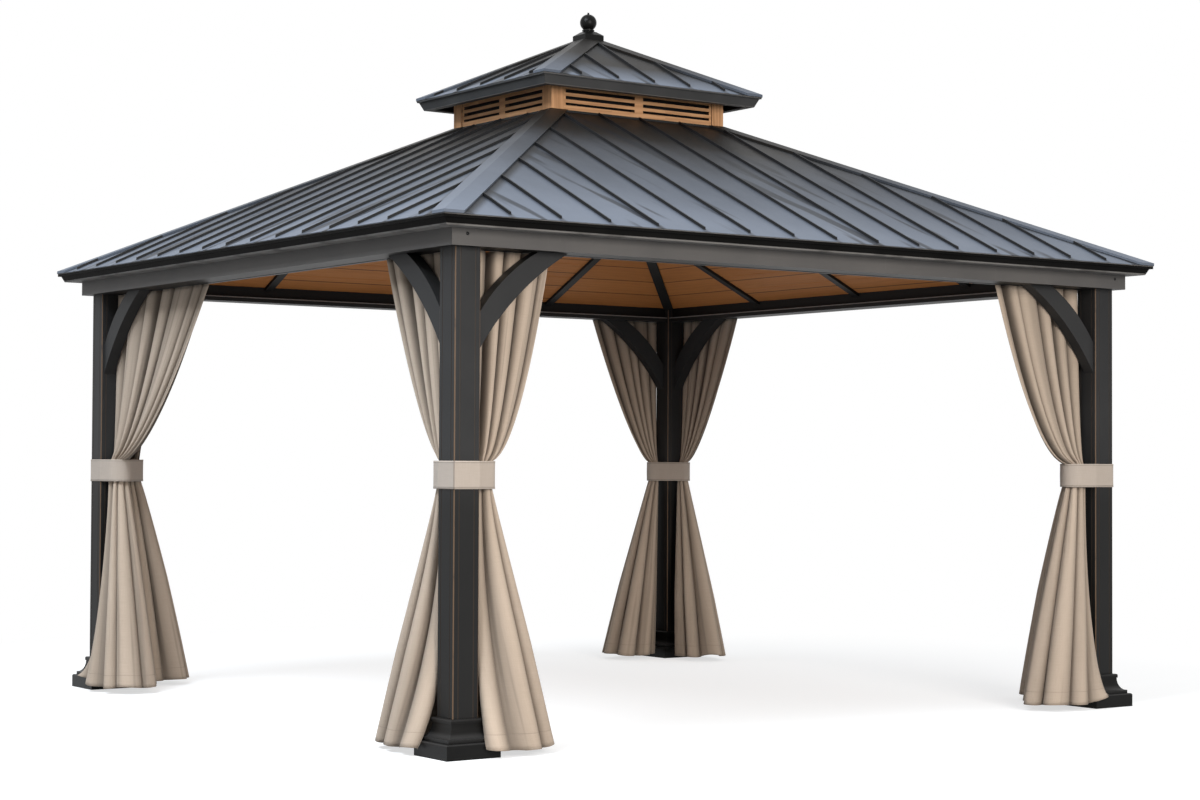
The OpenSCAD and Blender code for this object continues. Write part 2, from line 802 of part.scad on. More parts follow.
// Two curtains hang outside the braces, straight under the beam; the others hang from the inner rail
function top_z(out) = out ? beam_z - fit : rail_z;
function top_y(out) = out ? -(beam_out + post_h - brace_back) / 2 : rail_y + 2;
function top_depth(out) = out ? curtain_out_depth : curtain_top_depth;
function waist_y(out) = out ? -bundle_out : bundle_y;

// A curtain hangs nearly upright from its rail and sweeps in towards the tie
sweep = 0.6;
function lift(z, out) = z > tie_top ? (z - tie_top) / (top_z(out) - tie_top) : 0;
function spread(z, out) = pow(lift(z, out), sweep);
function flare(z) = z < tie_low ? pow((tie_low - z) / (tie_low - hem_z), 0.85) : 0;
function mix(a, b, t) = a + (b - a) * t;
// Keeps the folds on their own side of the knee braces
function clear_brace(z, out) = pow(lift(z, out), out ? 0.35 : 0.5);
// Centre and half sizes of a curtain at one height: along the side, then inwards
function curtain_level(z, top, out) = [
    bundle_u + (post_h + 6 + top / 2 - bundle_u) * spread(z, out) + (hem_u - bundle_u) * flare(z),
    bundle_r + (top / 2 - bundle_r) * spread(z, out) + (hem_half - bundle_r) * flare(z),
    waist_y(out) + (top_y(out) - waist_y(out)) * clear_brace(z, out) - waist_y(out) * flare(z),
    bundle_r + (top_depth(out) / 2 - bundle_r) * clear_brace(z, out) + (hem_deep - bundle_r) * flare(z)];
function curtain_ring(z, top, out) = [for (k = [0:ring_n - 1])
    let (a = 360 * k / ring_n, c = curtain_level(z, top, out), r = 1 - pleat + pleat * cos(folds * a))
    [c[0] + c[1] * r * cos(a), c[2] + c[3] * r * sin(a), z]];

module curtain_body(top, out) {
    below = [for (t = [0, 0.3, 0.6, 0.82, 0.93, 1]) mix(hem_z, tie_low, t)];
    above = [for (t = [0, 0.08, 0.2, 0.4, 0.7, 1]) mix(tie_top, top_z(out), t)];
    levels = concat(below, above);
    last = len(levels) - 1;
    points = [for (z = levels) each curtain_ring(z, top, out)];
    walls = [for (k = [0:last - 1], j = [0:ring_n - 1])
        let (p = k * ring_n, q = p + ring_n, i = (j + 1) % ring_n)
        each [[p + j, q + j, q + i], [p + j, q + i, p + i]]];
    foot = [for (j = [0:ring_n - 1]) j];
    head = [for (j = [ring_n - 1:-1:0]) last * ring_n + j];
    polyhedron(points, concat(walls, [foot, head]));
}

module curtain(i, end, top, out) {
    color(taupe) on_side(i) mirror([end, 0, 0]) translate([-half_len(i), -half_dep(i), 0])
        curtain_body(top, out);
}

// Loop around the outside of the post and both bundles
function tie_r(g, out) = bundle_r + (out ? fit : 6) + g;
function tie_arc(g, out, from) = [for (k = [0:7]) let (a = mix(from, 46, k / 7))
    [bundle_u + tie_r(g, out) * cos(a), waist_y(out) + tie_r(g, out) * sin(a)]];
function tie_line_in(g) = let (arc = tie_arc(g, false, -77), c = post_h + fit + g)
    concat([[-c, -c], [post_h, -c]], arc, [for (k = [7:-1:0]) [arc[k].y, arc[k].x]], [[-c, post_h]]);
// With the bundles further out, the loop runs straight from the post's outer corner to the bundles
function tie_line_out(g) = let (c = post_h + fit + g, d = [bundle_u + c, waist_y(true) + c],
    from = atan2(d.y, d.x) - acos(-tie_r(g, true) / norm(d)), arc = tie_arc(g, true, from))
    concat([[-c, -c]], arc, [for (k = [7:-1:0]) [arc[k].y, arc[k].x]]);

module tie(right, back, out) {
    color(taupe) at_corner(right, back) translate([0, 0, tie_z - tie_h / 2]) linear_extrude(tie_h)
        difference() {
            polygon(out ? tie_line_out(tie_t) : tie_line_in(tie_t));
            polygon(out ? tie_line_out(0) : tie_line_in(0));
        }
}

post(0, 0);  // post_front_left
post(1, 0);  // post_front_right
post(0, 1);  // post_back_left
post(1, 1);  // post_back_right
foot_plates();
post_skirts();
beam(0);  // beam_front
beam(1);  // beam_right
beam(2);  // beam_back
beam(3);  // beam_left
knee_braces();
curtain_rails();
eave_trims();
roof_slope(0);  // roof_front
roof_slope(1);  // roof_right
roof_slope(2);  // roof_back
roof_slope(3);  // roof_left
hip_caps();
hip_rafters();
side_rafters();
ceiling(0);  // ceiling_front
ceiling(1);  // ceiling_right
ceiling(2);  // ceiling_back
ceiling(3);  // ceiling_left
roof_ring();
lantern_posts();
louvre_panels();
upper_frame();
upper_eave_trims();
upper_roof();
upper_hip_caps();
finial();
curtain(0, 0, curtain_top_tight, false);  // curtain_front_left
curtain(0, 1, curtain_top, false);  // curtain_front_right
curtain(1, 0, curtain_top, false);  // curtain_right_front
curtain(1, 1, curtain_top_tight, true);  // curtain_right_back
curtain(2, 0, curtain_top_tight, true);  // curtain_back_right
curtain(2, 1, curtain_top, false);  // curtain_back_left
curtain(3, 0, curtain_top, false);  // curtain_left_back
curtain(3, 1, curtain_top, false);  // curtain_left_front
tie(0, 0, false);  // tie_front_left
tie(1, 0, false);  // tie_front_right
tie(0, 1, false);  // tie_back_left
tie(1, 1, true);  // tie_back_right
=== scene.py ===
# %% [markdown]
# A garden gazebo of dark coated metal: four posts, a two-tier roof of standing-seam sheet, a boarded
# ceiling, a louvred lantern in pale wood, and eight curtains tied back to the posts.
# The solids come from the imported model and are never moved. This lesson gives every one of them a
# finish, and adds what solids can't show well: cloth, ceiling boards, screws, and black panels in the
# lantern that paint the shade inside it.

# %% Load the fixed frame
import bpy
import numpy as np
from mathutils import Matrix


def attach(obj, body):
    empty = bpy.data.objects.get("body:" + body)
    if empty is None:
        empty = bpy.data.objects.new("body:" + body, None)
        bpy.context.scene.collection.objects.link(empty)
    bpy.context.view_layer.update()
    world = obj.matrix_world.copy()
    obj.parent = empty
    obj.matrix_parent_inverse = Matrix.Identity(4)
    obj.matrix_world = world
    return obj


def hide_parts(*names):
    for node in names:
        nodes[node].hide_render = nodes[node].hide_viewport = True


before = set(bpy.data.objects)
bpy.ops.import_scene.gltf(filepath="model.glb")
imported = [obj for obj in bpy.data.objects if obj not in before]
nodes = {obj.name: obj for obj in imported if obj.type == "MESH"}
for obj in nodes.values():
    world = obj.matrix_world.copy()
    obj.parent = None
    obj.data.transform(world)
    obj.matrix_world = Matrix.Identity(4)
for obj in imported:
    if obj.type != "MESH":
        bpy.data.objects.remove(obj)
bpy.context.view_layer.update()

# %% [markdown]
# A few sizes of the solids are needed again for finishes and for new pieces, in metres: the axes of the
# posts, the faces of the beams, the lip of each tier of the roof, how far that tier rises, the pitch of its
# seams, and the walls of the lantern.

# %% Sizes
POST_X, POST_Y = 1.82, 1.72
BEAM_Z, BEAM_OUT, BEAM_IN = 2.02, 0.103, 0.024
EAVE_OUT, EAVE_Z, EAVE_H, ROOF_RISE = 0.197, 2.134, 0.044, 0.706
LANTERN, LANTERN_POST, LOUVRE_BACK = np.array([0.520, 0.440]), 0.072, 0.005
UPPER, UPPER_Z, UPPER_EAVE_H, UPPER_RISE = np.array([0.657, 0.577]), 2.996, 0.050, 0.308
SEAM_PITCH, UPPER_SEAM_PITCH, CAP_W = 0.243, 0.216, 0.066
EAVE = np.array([POST_X, POST_Y]) + EAVE_OUT
print("eave half sizes:", EAVE, "upper:", UPPER)

# %% [markdown]
# The camera stands outside the near corner, a little above half the height of the posts. Its place was
# found by laying known corners of the model over the same corners in the picture, so the lens and the
# turn are given as numbers. The frame is 1200 by 800.

# %% Camera
LENS, SENSOR = 70.67, 36.0
EYE = (-6.778, -9.692, 1.166)
YAW, TILT, ROLL = np.radians([35.295, 1.525, 0.266])


def camera_axes(yaw, tilt, roll):
    """Right, up and back of a camera that looks along (sin yaw, cos yaw), tilted up and rolled."""
    level = np.array([np.sin(yaw), np.cos(yaw), 0])
    right = np.array([np.cos(yaw), -np.sin(yaw), 0])
    ahead = level * np.cos(tilt) + np.array([0, 0, np.sin(tilt)])
    up = np.array([0, 0, np.cos(tilt)]) - level * np.sin(tilt)
    return right * np.cos(roll) + up * np.sin(roll), up * np.cos(roll) - right * np.sin(roll), -ahead


def placed(axes, place):
    """Matrix of an object at a place, with its own three axes along the given ones."""
    matrix = np.eye(4)
    matrix[:3, :3], matrix[:3, 3] = np.stack(axes, 1), place
    return Matrix(matrix.tolist())


camera = bpy.data.objects.new("camera", bpy.data.cameras.new("camera"))
camera.data.lens, camera.data.sensor_width, camera.data.clip_end = LENS, SENSOR, 200
camera.matrix_world = placed(camera_axes(YAW, TILT, ROLL), EYE)
bpy.context.scene.collection.objects.link(camera)
bpy.context.scene.camera = camera
bpy.context.scene.view_settings.view_transform = "Standard"
print("camera at", EYE, "lens", LENS, "mm")

# %% [markdown]
# Finishes are written as sums. A small class wraps a shader socket so that `1 - mask` or `grain * 0.3`
# adds Math nodes by itself. Another class holds one material, or the world, and makes its other nodes.


# %% Sockets that do arithmetic
class Value:
    """A shader socket that takes part in Python sums."""

    def __init__(self, finish, socket):
        self.finish, self.socket = finish, socket

    def math(self, operation, *terms):
        return self.finish.node("ShaderNodeMath", {"operation": operation}, dict(enumerate(terms)))[0]

    def __add__(self, other): return self.math("ADD", self, other)
    def __radd__(self, other): return self.math("ADD", other, self)
    def __sub__(self, other): return self.math("SUBTRACT", self, other)
    def __rsub__(self, other): return self.math("SUBTRACT", other, self)
    def __mul__(self, other): return self.math("MULTIPLY", self, other)
    def __truediv__(self, other): return self.math("DIVIDE", self, other)
    def __pow__(self, other): return self.math("POWER", self, other)
    def __abs__(self): return self.math("ABSOLUTE", self)
    def floor(self): return self.math("FLOOR", self)
    def wave(self): return self.math("SINE", self)
    def fract(self): return self.math("FRACT", self)
    def least(self, other): return self.math("MINIMUM", self, other)
    def most(self, other): return self.math("MAXIMUM", self, other)


class Outputs:
    """The outputs of one node, picked by name or number."""

    def __init__(self, finish, node):
        self.finish, self.node = finish, node

    def __getitem__(self, key):
        return Value(self.finish, self.node.outputs[key])


class Finish:
    """One material, or one world, built node by node."""

    def __init__(self, name, world=False):
        self.owner = (bpy.data.worlds if world else bpy.data.materials).new(name)
        self.owner.use_nodes = True
        self.tree = self.owner.node_tree
        self.tree.nodes.clear()

    def node(self, kind, settings=None, inputs=None):
        """Makes a node: settings first, a ramp's stops among them, then its sockets' values or links."""
        made = self.tree.nodes.new(kind)
        for key, value in (settings or {}).items():
            if key == "stops":
                ramp = made.color_ramp
                for place, _ in value[2:]:
                    ramp.elements.new(place)
                for stop, (place, colour) in zip(ramp.elements, sorted(value)):
                    stop.position, stop.color = place, (*colour, 1)
            else:
                setattr(made, key, value)
        for key, value in (inputs or {}).items():
            if isinstance(value, Value):
                self.tree.links.new(value.socket, made.inputs[key])
            else:
                made.inputs[key].default_value = value
        return Outputs(self, made)

    def place(self):
        return self.node("ShaderNodeTexCoord")["Object"]

    def cloth_place(self, title="cut"):
        return self.node("ShaderNodeUVMap", {"uv_map": title})["UV"]

    def split(self, vector):
        parts = self.node("ShaderNodeSeparateXYZ", None, {0: vector})
        return parts[0], parts[1], parts[2]

    def join(self, x, y, z):
        return self.node("ShaderNodeCombineXYZ", None, {0: x, 1: y, 2: z})[0]

    def noise(self, vector, scale, detail=3.0, rough=0.55):
        return self.node("ShaderNodeTexNoise", None, {
            "Vector": vector, "Scale": scale, "Detail": detail, "Roughness": rough})[0]

    def step(self, value, low, high):
        """0 below low, 1 above high, smooth between."""
        return self.node("ShaderNodeMapRange", {"interpolation_type": "SMOOTHSTEP"}, {
            "Value": value, "From Min": low, "From Max": high})[0]

    def blend(self, share, a, b):
        """Colour a where share is 0, colour b where it is 1."""
        full = lambda c: c if isinstance(c, Value) else (*c, 1)
        return self.node("ShaderNodeMix", {"data_type": "RGBA"}, {0: share, 6: full(a), 7: full(b)})[2]

    def ramp(self, value, *stops):
        return self.node("ShaderNodeValToRGB", {"stops": list(stops)}, {0: value})[0]

    def done(self, colour, roughness, height=None, depth=0.001, **constants):
        """Ends in one Principled shader. Height is in units of depth, in metres."""
        inputs = {"Base Color": colour, "Roughness": roughness}
        inputs.update({key.replace("_", " "): value for key, value in constants.items()})
        if height is not None:
            inputs["Normal"] = self.node("ShaderNodeBump", None, {
                "Strength": 1.0, "Distance": depth, "Height": height})[0]
        shader = self.node("ShaderNodeBsdfPrincipled", None, inputs)
        self.node("ShaderNodeOutputMaterial", None, {"Surface": shader[0]})
        return self.owner


def shaded(colour, share):
    """A colour times a number."""
    return tuple(share * c for c in colour)


print("shader sums ready")

# %% [markdown]
# Posts, beams and braces are aluminium with a baked charcoal coat. Close up it has a fine orange peel;
# from further off the colour drifts a little, and the arrises of the posts show a bronze line where the
# coat is thin, which is also a painted edge highlight. The distance of a point from the two centre planes
# of its post finds the arrises on all four. Posts are darker below the ties, and beams are painted black
# as shade but for their outer faces. The folded eaves are darker, and only their edges carry a painted
# highlight.

# %% Charcoal coat
PEEL = 900
INNER_FACE_SHADE, LOW_DARK, PAINTED_EDGE_HIGHLIGHT = (0.009, 0.0085, 0.008), (0.004, 0.0038, 0.0034), (0.20, 0.19, 0.18)
BRONZE_AND_HIGHLIGHT, GROOVE_BRONZE_AND_HIGHLIGHT = (0.175, 0.108, 0.064), (0.090, 0.062, 0.042)
ARRIS_FADE, GROOVE_AT, GROOVE_FADE, LOW_DARK_FADE = (0.0552, 0.0568), 0.035, (0.0020, 0.0035), (0.95, 1.25)
HIGHLIGHT_LIP, HIGHLIGHT_FADE = 0.0048, 0.001


def charcoal_coat(name, low, high, arrises=False, outer=0):
    """Dark coat: slow drift, fine peel, and bronze where both distances from the post's axis pass 56 mm,
    which is thin coat and a painted edge highlight.
    Only faces further out than the given distance keep the full tone; other faces are painted black as shade."""
    f = Finish(name)
    place = f.place()
    x, y, z = f.split(place)
    drift = f.noise(place, 2.3, 4)
    peel = f.noise(place, PEEL, 2)
    scuff = f.step(f.noise(f.join(x * 9, y * 9, z * 1.2), 6, 5, 0.6), 0.62, 0.78)
    colour = f.ramp(drift, (0.3, low), (0.7, high))
    colour = f.blend(scuff * 0.12, colour, shaded(high, 2.2))
    if outer:
        # painted shade: faces inside the outer one are blended to black
        past = (abs(x) - POST_X).most(abs(y) - POST_Y)
        colour = f.blend(1 - f.step(past, outer - 0.004, outer - 0.001), colour, INNER_FACE_SHADE)
    if arrises:
        inner = abs(abs(x) - POST_X).least(abs(abs(y) - POST_Y))
        # bronze on the arrises: thin coat, and a painted edge highlight
        arris = f.step(inner, *ARRIS_FADE) * f.step(f.noise(place, 9, 3), 0.22, 0.45)
        # bronze in the grooves: thin coat, and a painted highlight along them
        groove = 1 - f.step(abs(inner - GROOVE_AT), *GROOVE_FADE)
        # posts darker below the ties
        colour = f.blend((1 - f.step(z, *LOW_DARK_FADE)) * 0.68, colour, LOW_DARK)
        colour = f.blend(arris * 0.7, colour, BRONZE_AND_HIGHLIGHT)
        colour = f.blend(groove * 0.28, colour, GROOVE_BRONZE_AND_HIGHLIGHT)
    return f.done(colour, 0.46 + drift * 0.12 + scuff * 0.06, peel * 0.3 + drift * 0.7, 0.0005,
                  Specular_IOR_Level=0.16)


def trim_coat(name, lip_z, high, dark, pale, fold, shown):
    """Folded trim with a painted highlight along the top of the lip and along its lower fold, which is given
    by the height of its highlight strip and by how much of it shows."""
    f = Finish(name)
    place = f.place()
    _, _, z = f.split(place)
    highlight_patches = f.step(f.noise(place, 6, 3), 0.30, 0.55)
    foot = lip_z - high + fold
    top = lip_z - HIGHLIGHT_LIP
    line = f.step(z, top, top + HIGHLIGHT_FADE) + (1 - f.step(z, foot - HIGHLIGHT_FADE, foot)) * shown
    coat = f.ramp(f.noise(place, 3, 3), (0.3, dark), (0.7, pale))
    # painted highlight along the top of the lip and along the lower fold
    colour = f.blend(line * (0.45 + highlight_patches * 0.4), coat, PAINTED_EDGE_HIGHLIGHT)
    return f.done(colour, 0.50, f.noise(place, PEEL, 2), 0.0003, Specular_IOR_Level=0.02)


def dress(material, *names):
    """Puts one finish on whole solids."""
    for name in names:
        nodes[name].data.materials.clear()
        nodes[name].data.materials.append(material)


POSTS = ["post_front_left", "post_front_right", "post_back_left", "post_back_right"]
BEAMS = ["beam_front", "beam_right", "beam_back", "beam_left"]
POST_TONES = (0.0180, 0.0181, 0.0187), (0.0280, 0.0274, 0.0275)
BEAM_TONES = (0.079, 0.075, 0.073), (0.107, 0.100, 0.095)
BRACE_TONES = (0.0195, 0.0196, 0.0203), (0.0285, 0.0280, 0.0282)
EAVE_TONES = (0.004, 0.0038, 0.0036), (0.008, 0.0077, 0.0073)
UPPER_EAVE_TONES = (0.048, 0.0485, 0.0495), (0.070, 0.070, 0.071)
dress(charcoal_coat("post_coat", *POST_TONES, arrises=True), *POSTS)
dress(charcoal_coat("beam_coat", *BEAM_TONES, outer=BEAM_OUT), *BEAMS)
dress(charcoal_coat("brace_coat", *BRACE_TONES), "knee_braces")
dress(trim_coat("eave_coat", EAVE_Z, EAVE_H, *EAVE_TONES, fold=0.0070, shown=1.0), "eave_trims")
dress(trim_coat("upper_eave_coat", UPPER_Z, UPPER_EAVE_H, *UPPER_EAVE_TONES, fold=0.0032, shown=0.6),
      "upper_eave_trims")
print("charcoal coat on", len(POSTS) + len(BEAMS) + 3, "solids")

# %% [markdown]
# The roof is thin sheet, rolled to a slate colour, with its seams folded upright and painted black as
# shade. Sheet that thin is never quite flat between its seams: it dents in long shallow waves, and rain
# leaves long smudges. Painted shade lies beside the seams and caps, and the sheet carries a painted
# reflected sheen low down that turns to painted shade towards the top. A noise that is stretched down
# the slope gives dents and smudges. Which slope a point is on follows from its height: the roof is the
# lower of two planes, and whatever stands above that plane is a seam.

# %% Roof sheet
SLATE_WITH_PAINTED_LIGHT = (0.04, (0.114, 0.132, 0.166)), (0.78, (0.008, 0.0068, 0.0058)), (0.42, (0.056, 0.065, 0.082))
SMUDGE, SEAM_SIDE_SHADE, PAINTED_BLACK_SHADE = (0.006, 0.0075, 0.0105), (0.012, 0.012, 0.013), (0.005, 0.0052, 0.0058)
SEAM_FADE, SEAM_SHADE_FADE, CAP_SHADE_FADE = (0.0026, 0.0048), (0.005, 0.024), (0.010, 0.045)
SHEET_GRAIN = 600


def roof_coat(name, half, lip_z, rise, tall, pitch, clean=0.57):
    """Slate sheet on four slopes, z = lip + min((half x - |x|) rise x, (half y - |y|) rise y), with seams
    painted black as shade where they stand more than 4 mm above that, painted shade beside them and beside
    the caps, long dents, smudges where a noise passes the given level, and a painted reflected sheen low
    down that turns to painted shade towards the top."""
    f = Finish(name)
    place = f.place()
    x, y, z = f.split(place)
    side_up, front_up = (half[0] - abs(x)) * rise[0], (half[1] - abs(y)) * rise[1]
    on_side = f.step(front_up - side_up, -0.001, 0.001)
    across, down = x + (y - x) * on_side, y + (x - y) * on_side
    up = side_up.least(front_up)
    seam = f.step(z - up, lip_z + SEAM_FADE[0], lip_z + SEAM_FADE[1])
    beside = abs((across / pitch + 0.5).fract() - 0.5) * pitch
    from_hip = abs(side_up - front_up) / np.hypot(*rise)
    dent = f.noise(f.join(across * 4.2, down * 1.1, on_side * 3), 1.0, 2, 0.45)
    cloud = f.noise(place, 1.7, 5, 0.6)
    streak = f.join(across * 10 + down * 2.6, down * 1.5, on_side * 5 + 7.3)
    smudge = f.step(f.noise(streak, 1.0, 2, 0.4), clean, clean + 0.08)
    # painted reflected sheen low on the slope, turning to painted shade towards the top
    colour = f.ramp(up / tall + (cloud - 0.5) * 0.34, *SLATE_WITH_PAINTED_LIGHT)
    colour = f.blend(smudge * 0.78, colour, SMUDGE)
    # painted shade beside the caps and beside the seams
    beside_cap = 1 - f.step(from_hip, CAP_W + CAP_SHADE_FADE[0], CAP_W + CAP_SHADE_FADE[1])
    colour = f.blend((1 - f.step(beside, *SEAM_SHADE_FADE)) * 0.55, colour, SEAM_SIDE_SHADE)
    colour = f.blend(beside_cap * 0.85, colour, PAINTED_BLACK_SHADE)
    # painted shade: seams and their flanks are black
    colour = f.blend(seam, colour, PAINTED_BLACK_SHADE)
    return f.done(colour, 0.40 + cloud * 0.14, dent * 1.5 + f.noise(place, SHEET_GRAIN, 2) * 0.03, 0.004,
                  Specular_IOR_Level=0.20)


def cap_coat(name, lip_z, tall, shade):
    """Slate sheet of the folded caps, with the slopes' painted sheen and shade by height, and the given
    painted shade added all over.
    """
    f = Finish(name)
    place = f.place()
    _, _, z = f.split(place)
    cloud = f.noise(place, 2.4, 4, 0.6)
    # painted sheen and shade by height, as on the slopes
    colour = f.ramp((z - lip_z) / tall + (cloud - 0.5) * 0.3 + shade, *SLATE_WITH_PAINTED_LIGHT)
    return f.done(colour, 0.42 + cloud * 0.1, cloud + f.noise(place, SHEET_GRAIN, 2) * 0.03, 0.002,
                  Specular_IOR_Level=0.20)


dress(roof_coat("roof_sheet_lower", EAVE, EAVE_Z, ROOF_RISE / (EAVE - LANTERN), ROOF_RISE, SEAM_PITCH),
      "roof_front", "roof_right", "roof_back", "roof_left")
dress(roof_coat("roof_sheet_upper", UPPER, UPPER_Z, UPPER_RISE / UPPER, 0.46 * UPPER_RISE,
                UPPER_SEAM_PITCH, clean=0.51), "upper_roof")
dress(cap_coat("roof_caps", EAVE_Z, ROOF_RISE, -0.03), "hip_caps")
dress(cap_coat("upper_caps", UPPER_Z, UPPER_RISE, 0.22), "upper_hip_caps")
print("roof sheet on 7 solids")

# %% [markdown]
# Rafters, rails and the ring under the lantern are near black, and the rails carry a painted highlight
# along their top. The skirts are cast, so their coat is thicker and smoother, and their rounded edges
# carry painted highlights. The foot plates are zinc.

# %% Dark parts and feet
PAINTED_HIGHLIGHT, RAIL_HIGHLIGHT, RAIL_HIGHLIGHT_Z = (0.052, 0.050, 0.049), (0.30, 0.29, 0.28), 2.0375


def dark_coat(name, low, high, rough, peel_size, pale_above=None, shine=(), gloss=0.22):
    """Near-black coat with a slow drift and a peel of the given size, with a painted highlight above a height
    if asked, and painted highlights within a distance of some heights, given as (height, distance, share)."""
    f = Finish(name)
    place = f.place()
    drift = f.noise(place, 5, 4)
    colour = f.ramp(drift, (0.3, low), (0.7, high))
    _, _, z = f.split(place)
    for level, near, share in shine:
        # painted highlights at the given heights
        colour = f.blend((1 - f.step(abs(z - level), 0.0, near)) * share, colour, PAINTED_HIGHLIGHT)
    if pale_above:
        # painted highlight above the given height
        colour = f.blend(f.step(z, pale_above, pale_above + 0.001) * 0.8, colour, RAIL_HIGHLIGHT)
    return f.done(colour, rough + drift * 0.15, f.noise(place, peel_size, 3), 0.0004,
                  Specular_IOR_Level=gloss)


def zinc(name):
    """Zinc crystals: cells of slightly different grey."""
    f = Finish(name)
    cells = f.node("ShaderNodeTexVoronoi", None, {"Vector": f.place(), "Scale": 90})["Color"]
    tone = f.noise(cells, 3, 1)
    return f.done(f.ramp(tone, (0.3, (0.28, 0.29, 0.30)), (0.7, (0.42, 0.43, 0.44))), 0.35 + tone * 0.2,
                  tone, 0.0002, Metallic=0.9)


BLACK = (0.007, 0.0068, 0.0064), (0.013, 0.0125, 0.012)
SKIRT_TONES = (0.004, 0.0039, 0.0037), (0.008, 0.0076, 0.0072)
SKIRT_HIGHLIGHTS = [(0.0600, 0.004, 0.42), (0.0840, 0.020, 0.42), (0.1500, 0.007, 0.28)]
dress(dark_coat("dark_structure", *BLACK, rough=0.45, peel_size=700),
      "hip_rafters", "side_rafters", "roof_ring", "upper_frame")
dress(dark_coat("rail_coat", *BLACK, rough=0.45, peel_size=700, pale_above=RAIL_HIGHLIGHT_Z), "curtain_rails")
dress(dark_coat("skirt_coat", *SKIRT_TONES, rough=0.26, peel_size=260, shine=SKIRT_HIGHLIGHTS, gloss=0.10),
      "post_skirts", "finial")
dress(zinc("foot_zinc"), "foot_plates")
print("dark parts dressed")

# %% [markdown]
# Wood needs a direction. Growth rings are bands that run with the grain, bent by a slow noise, and
# pores are short dark streaks. The same recipe serves the ceiling boards, read from their own map, and
# the lantern, read from its place in space. What lies behind the outer faces of the lantern is painted
# black as shade, as the gaps between louvres look by day.

# %% Wood
LANTERN_TONES = (0.62, 0.345, 0.175), (0.49, 0.258, 0.122), (0.35, 0.170, 0.074)
PAINTED_GAP_SHADE = (0.010, 0.006, 0.004)


def wood_tones(f, along, across, deep, seed, tones, rings):
    """Ring bands across the grain, bent along it, with pores. Returns colour, roughness and height."""
    pale, mid, dark = tones
    bend = f.noise(f.join(along * 1.3, across * 7, deep * 7 + seed), 1.0, 3)
    bands = ((across * 210 + deep * 90 + bend * 26 + seed * 17).wave() * 0.5 + 0.5)
    fibre = f.noise(f.join(along * 5, across * 260, deep * 260 + seed), 1.0, 3, 0.6)
    pore = f.step(f.noise(f.join(along * 14, across * 520, deep * 520 + seed), 1.0, 2), 0.60, 0.70)
    tone = bands * rings + fibre * 0.45 + bend * (0.55 - rings)
    colour = f.ramp(tone, (0.25, dark), (0.75, pale), (0.5, mid))
    colour = f.blend(pore * 0.30, colour, shaded(dark, 0.45))
    return colour, 0.50 + fibre * 0.2, fibre * 0.5 - pore * 0.5


def lantern_wood(name, upright, faces):
    """Pale wood. Upright pieces have their grain along Z, the louvre panels along their own side. It is
    painted black as shade more than 2 mm behind the outer faces, which are given by their distances from the
    centre."""
    f = Finish(name)
    x, y, z = f.split(f.place())
    if upright:
        along, across, deep = z, x, y
    else:
        on_end = f.step(abs(x) - abs(y), 0.02, 0.06)
        along, across, deep = x * (1 - on_end) + y * on_end, z, y * (1 - on_end) + x * on_end
    seed = (abs(x) * 3.1 + 0.5).floor() + (y * 2.3 + 0.5).floor() * 1.7
    colour, rough, height = wood_tones(f, along, across, deep, seed, LANTERN_TONES, 0.22)
    behind = (faces[0] - abs(x)).least(faces[1] - abs(y))
    # painted shade: black behind the outer faces
    colour = f.blend(f.step(behind, 0.001, 0.003) * 0.96, colour, PAINTED_GAP_SHADE)
    return f.done(colour, rough, height, 0.0005, Specular_IOR_Level=0.3)


dress(lantern_wood("lantern_wood_upright", upright=True, faces=LANTERN), "lantern_posts")
dress(lantern_wood("lantern_wood_level", upright=False, faces=LANTERN - LOUVRE_BACK), "louvre_panels")
print("lantern wood ready")

# %% [markdown]
# New pieces are grids of points worked out as whole arrays. One helper turns a grid into a mesh, gives it
# a map of the flat cut in metres, and lets it ride on the only body there is.


# %% Grid to mesh
def grid_faces(rows, cols, around=False):
    """Quads of a grid of points numbered row by row, closed along the columns if it goes around."""
    number = np.arange(rows * cols).reshape(rows, cols)
    left = number if around else number[:, :-1]
    right = np.roll(number, -1, 1) if around else number[:, 1:]
    return np.stack([left[:-1], right[:-1], right[1:], left[1:]], -1).reshape(-1, 4)


def mesh_piece(name, points, faces, material, cut=None, smooth=True, fold=None):
    """Makes an object at the origin from points (n, 3), quads (m, 4) and a map (n, 2) of the flat cut, with a
    second map (n, 2) that holds the folds."""
    mesh = bpy.data.meshes.new(name)
    mesh.vertices.add(len(points))
    mesh.vertices.foreach_set("co", np.ascontiguousarray(points, np.float32).ravel())
    mesh.loops.add(faces.size)
    mesh.loops.foreach_set("vertex_index", faces.ravel().astype(np.int32))
    mesh.polygons.add(len(faces))
    mesh.polygons.foreach_set("loop_start", np.arange(0, faces.size, faces.shape[1], dtype=np.int32))
    for title, flat in (("cut", cut), ("fold", fold)):
        if flat is not None:
            layer = mesh.uv_layers.new(name=title)
            layer.data.foreach_set("uv", np.ascontiguousarray(flat[faces.ravel()], np.float32).ravel())
    mesh.update(calc_edges=True)
    mesh.polygons.foreach_set("use_smooth", np.full(len(faces), smooth))
    mesh.materials.append(material)
    piece = bpy.data.objects.new(name, mesh)
    bpy.context.scene.collection.objects.link(piece)
    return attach(piece, "root")


def thicken(piece, thickness, inside=None):
    """Gives a surface its thickness, half to each side, and its inner face another finish if there is one."""
    wall = piece.modifiers.new("thickness", "SOLIDIFY")
    wall.thickness, wall.offset = thickness, 0
    if inside:
        piece.data.materials.append(inside)
        wall.material_offset = 1
    return piece


print("grid helpers ready")

# %% [markdown]
# Behind the louvres of the lantern hang black panels that paint the shade inside it, so that the gaps
# between the slats read as black from any side. They are drawn as woven wire at a pitch of 1.6 mm: two
# crossed waves of tone on four flat panels.

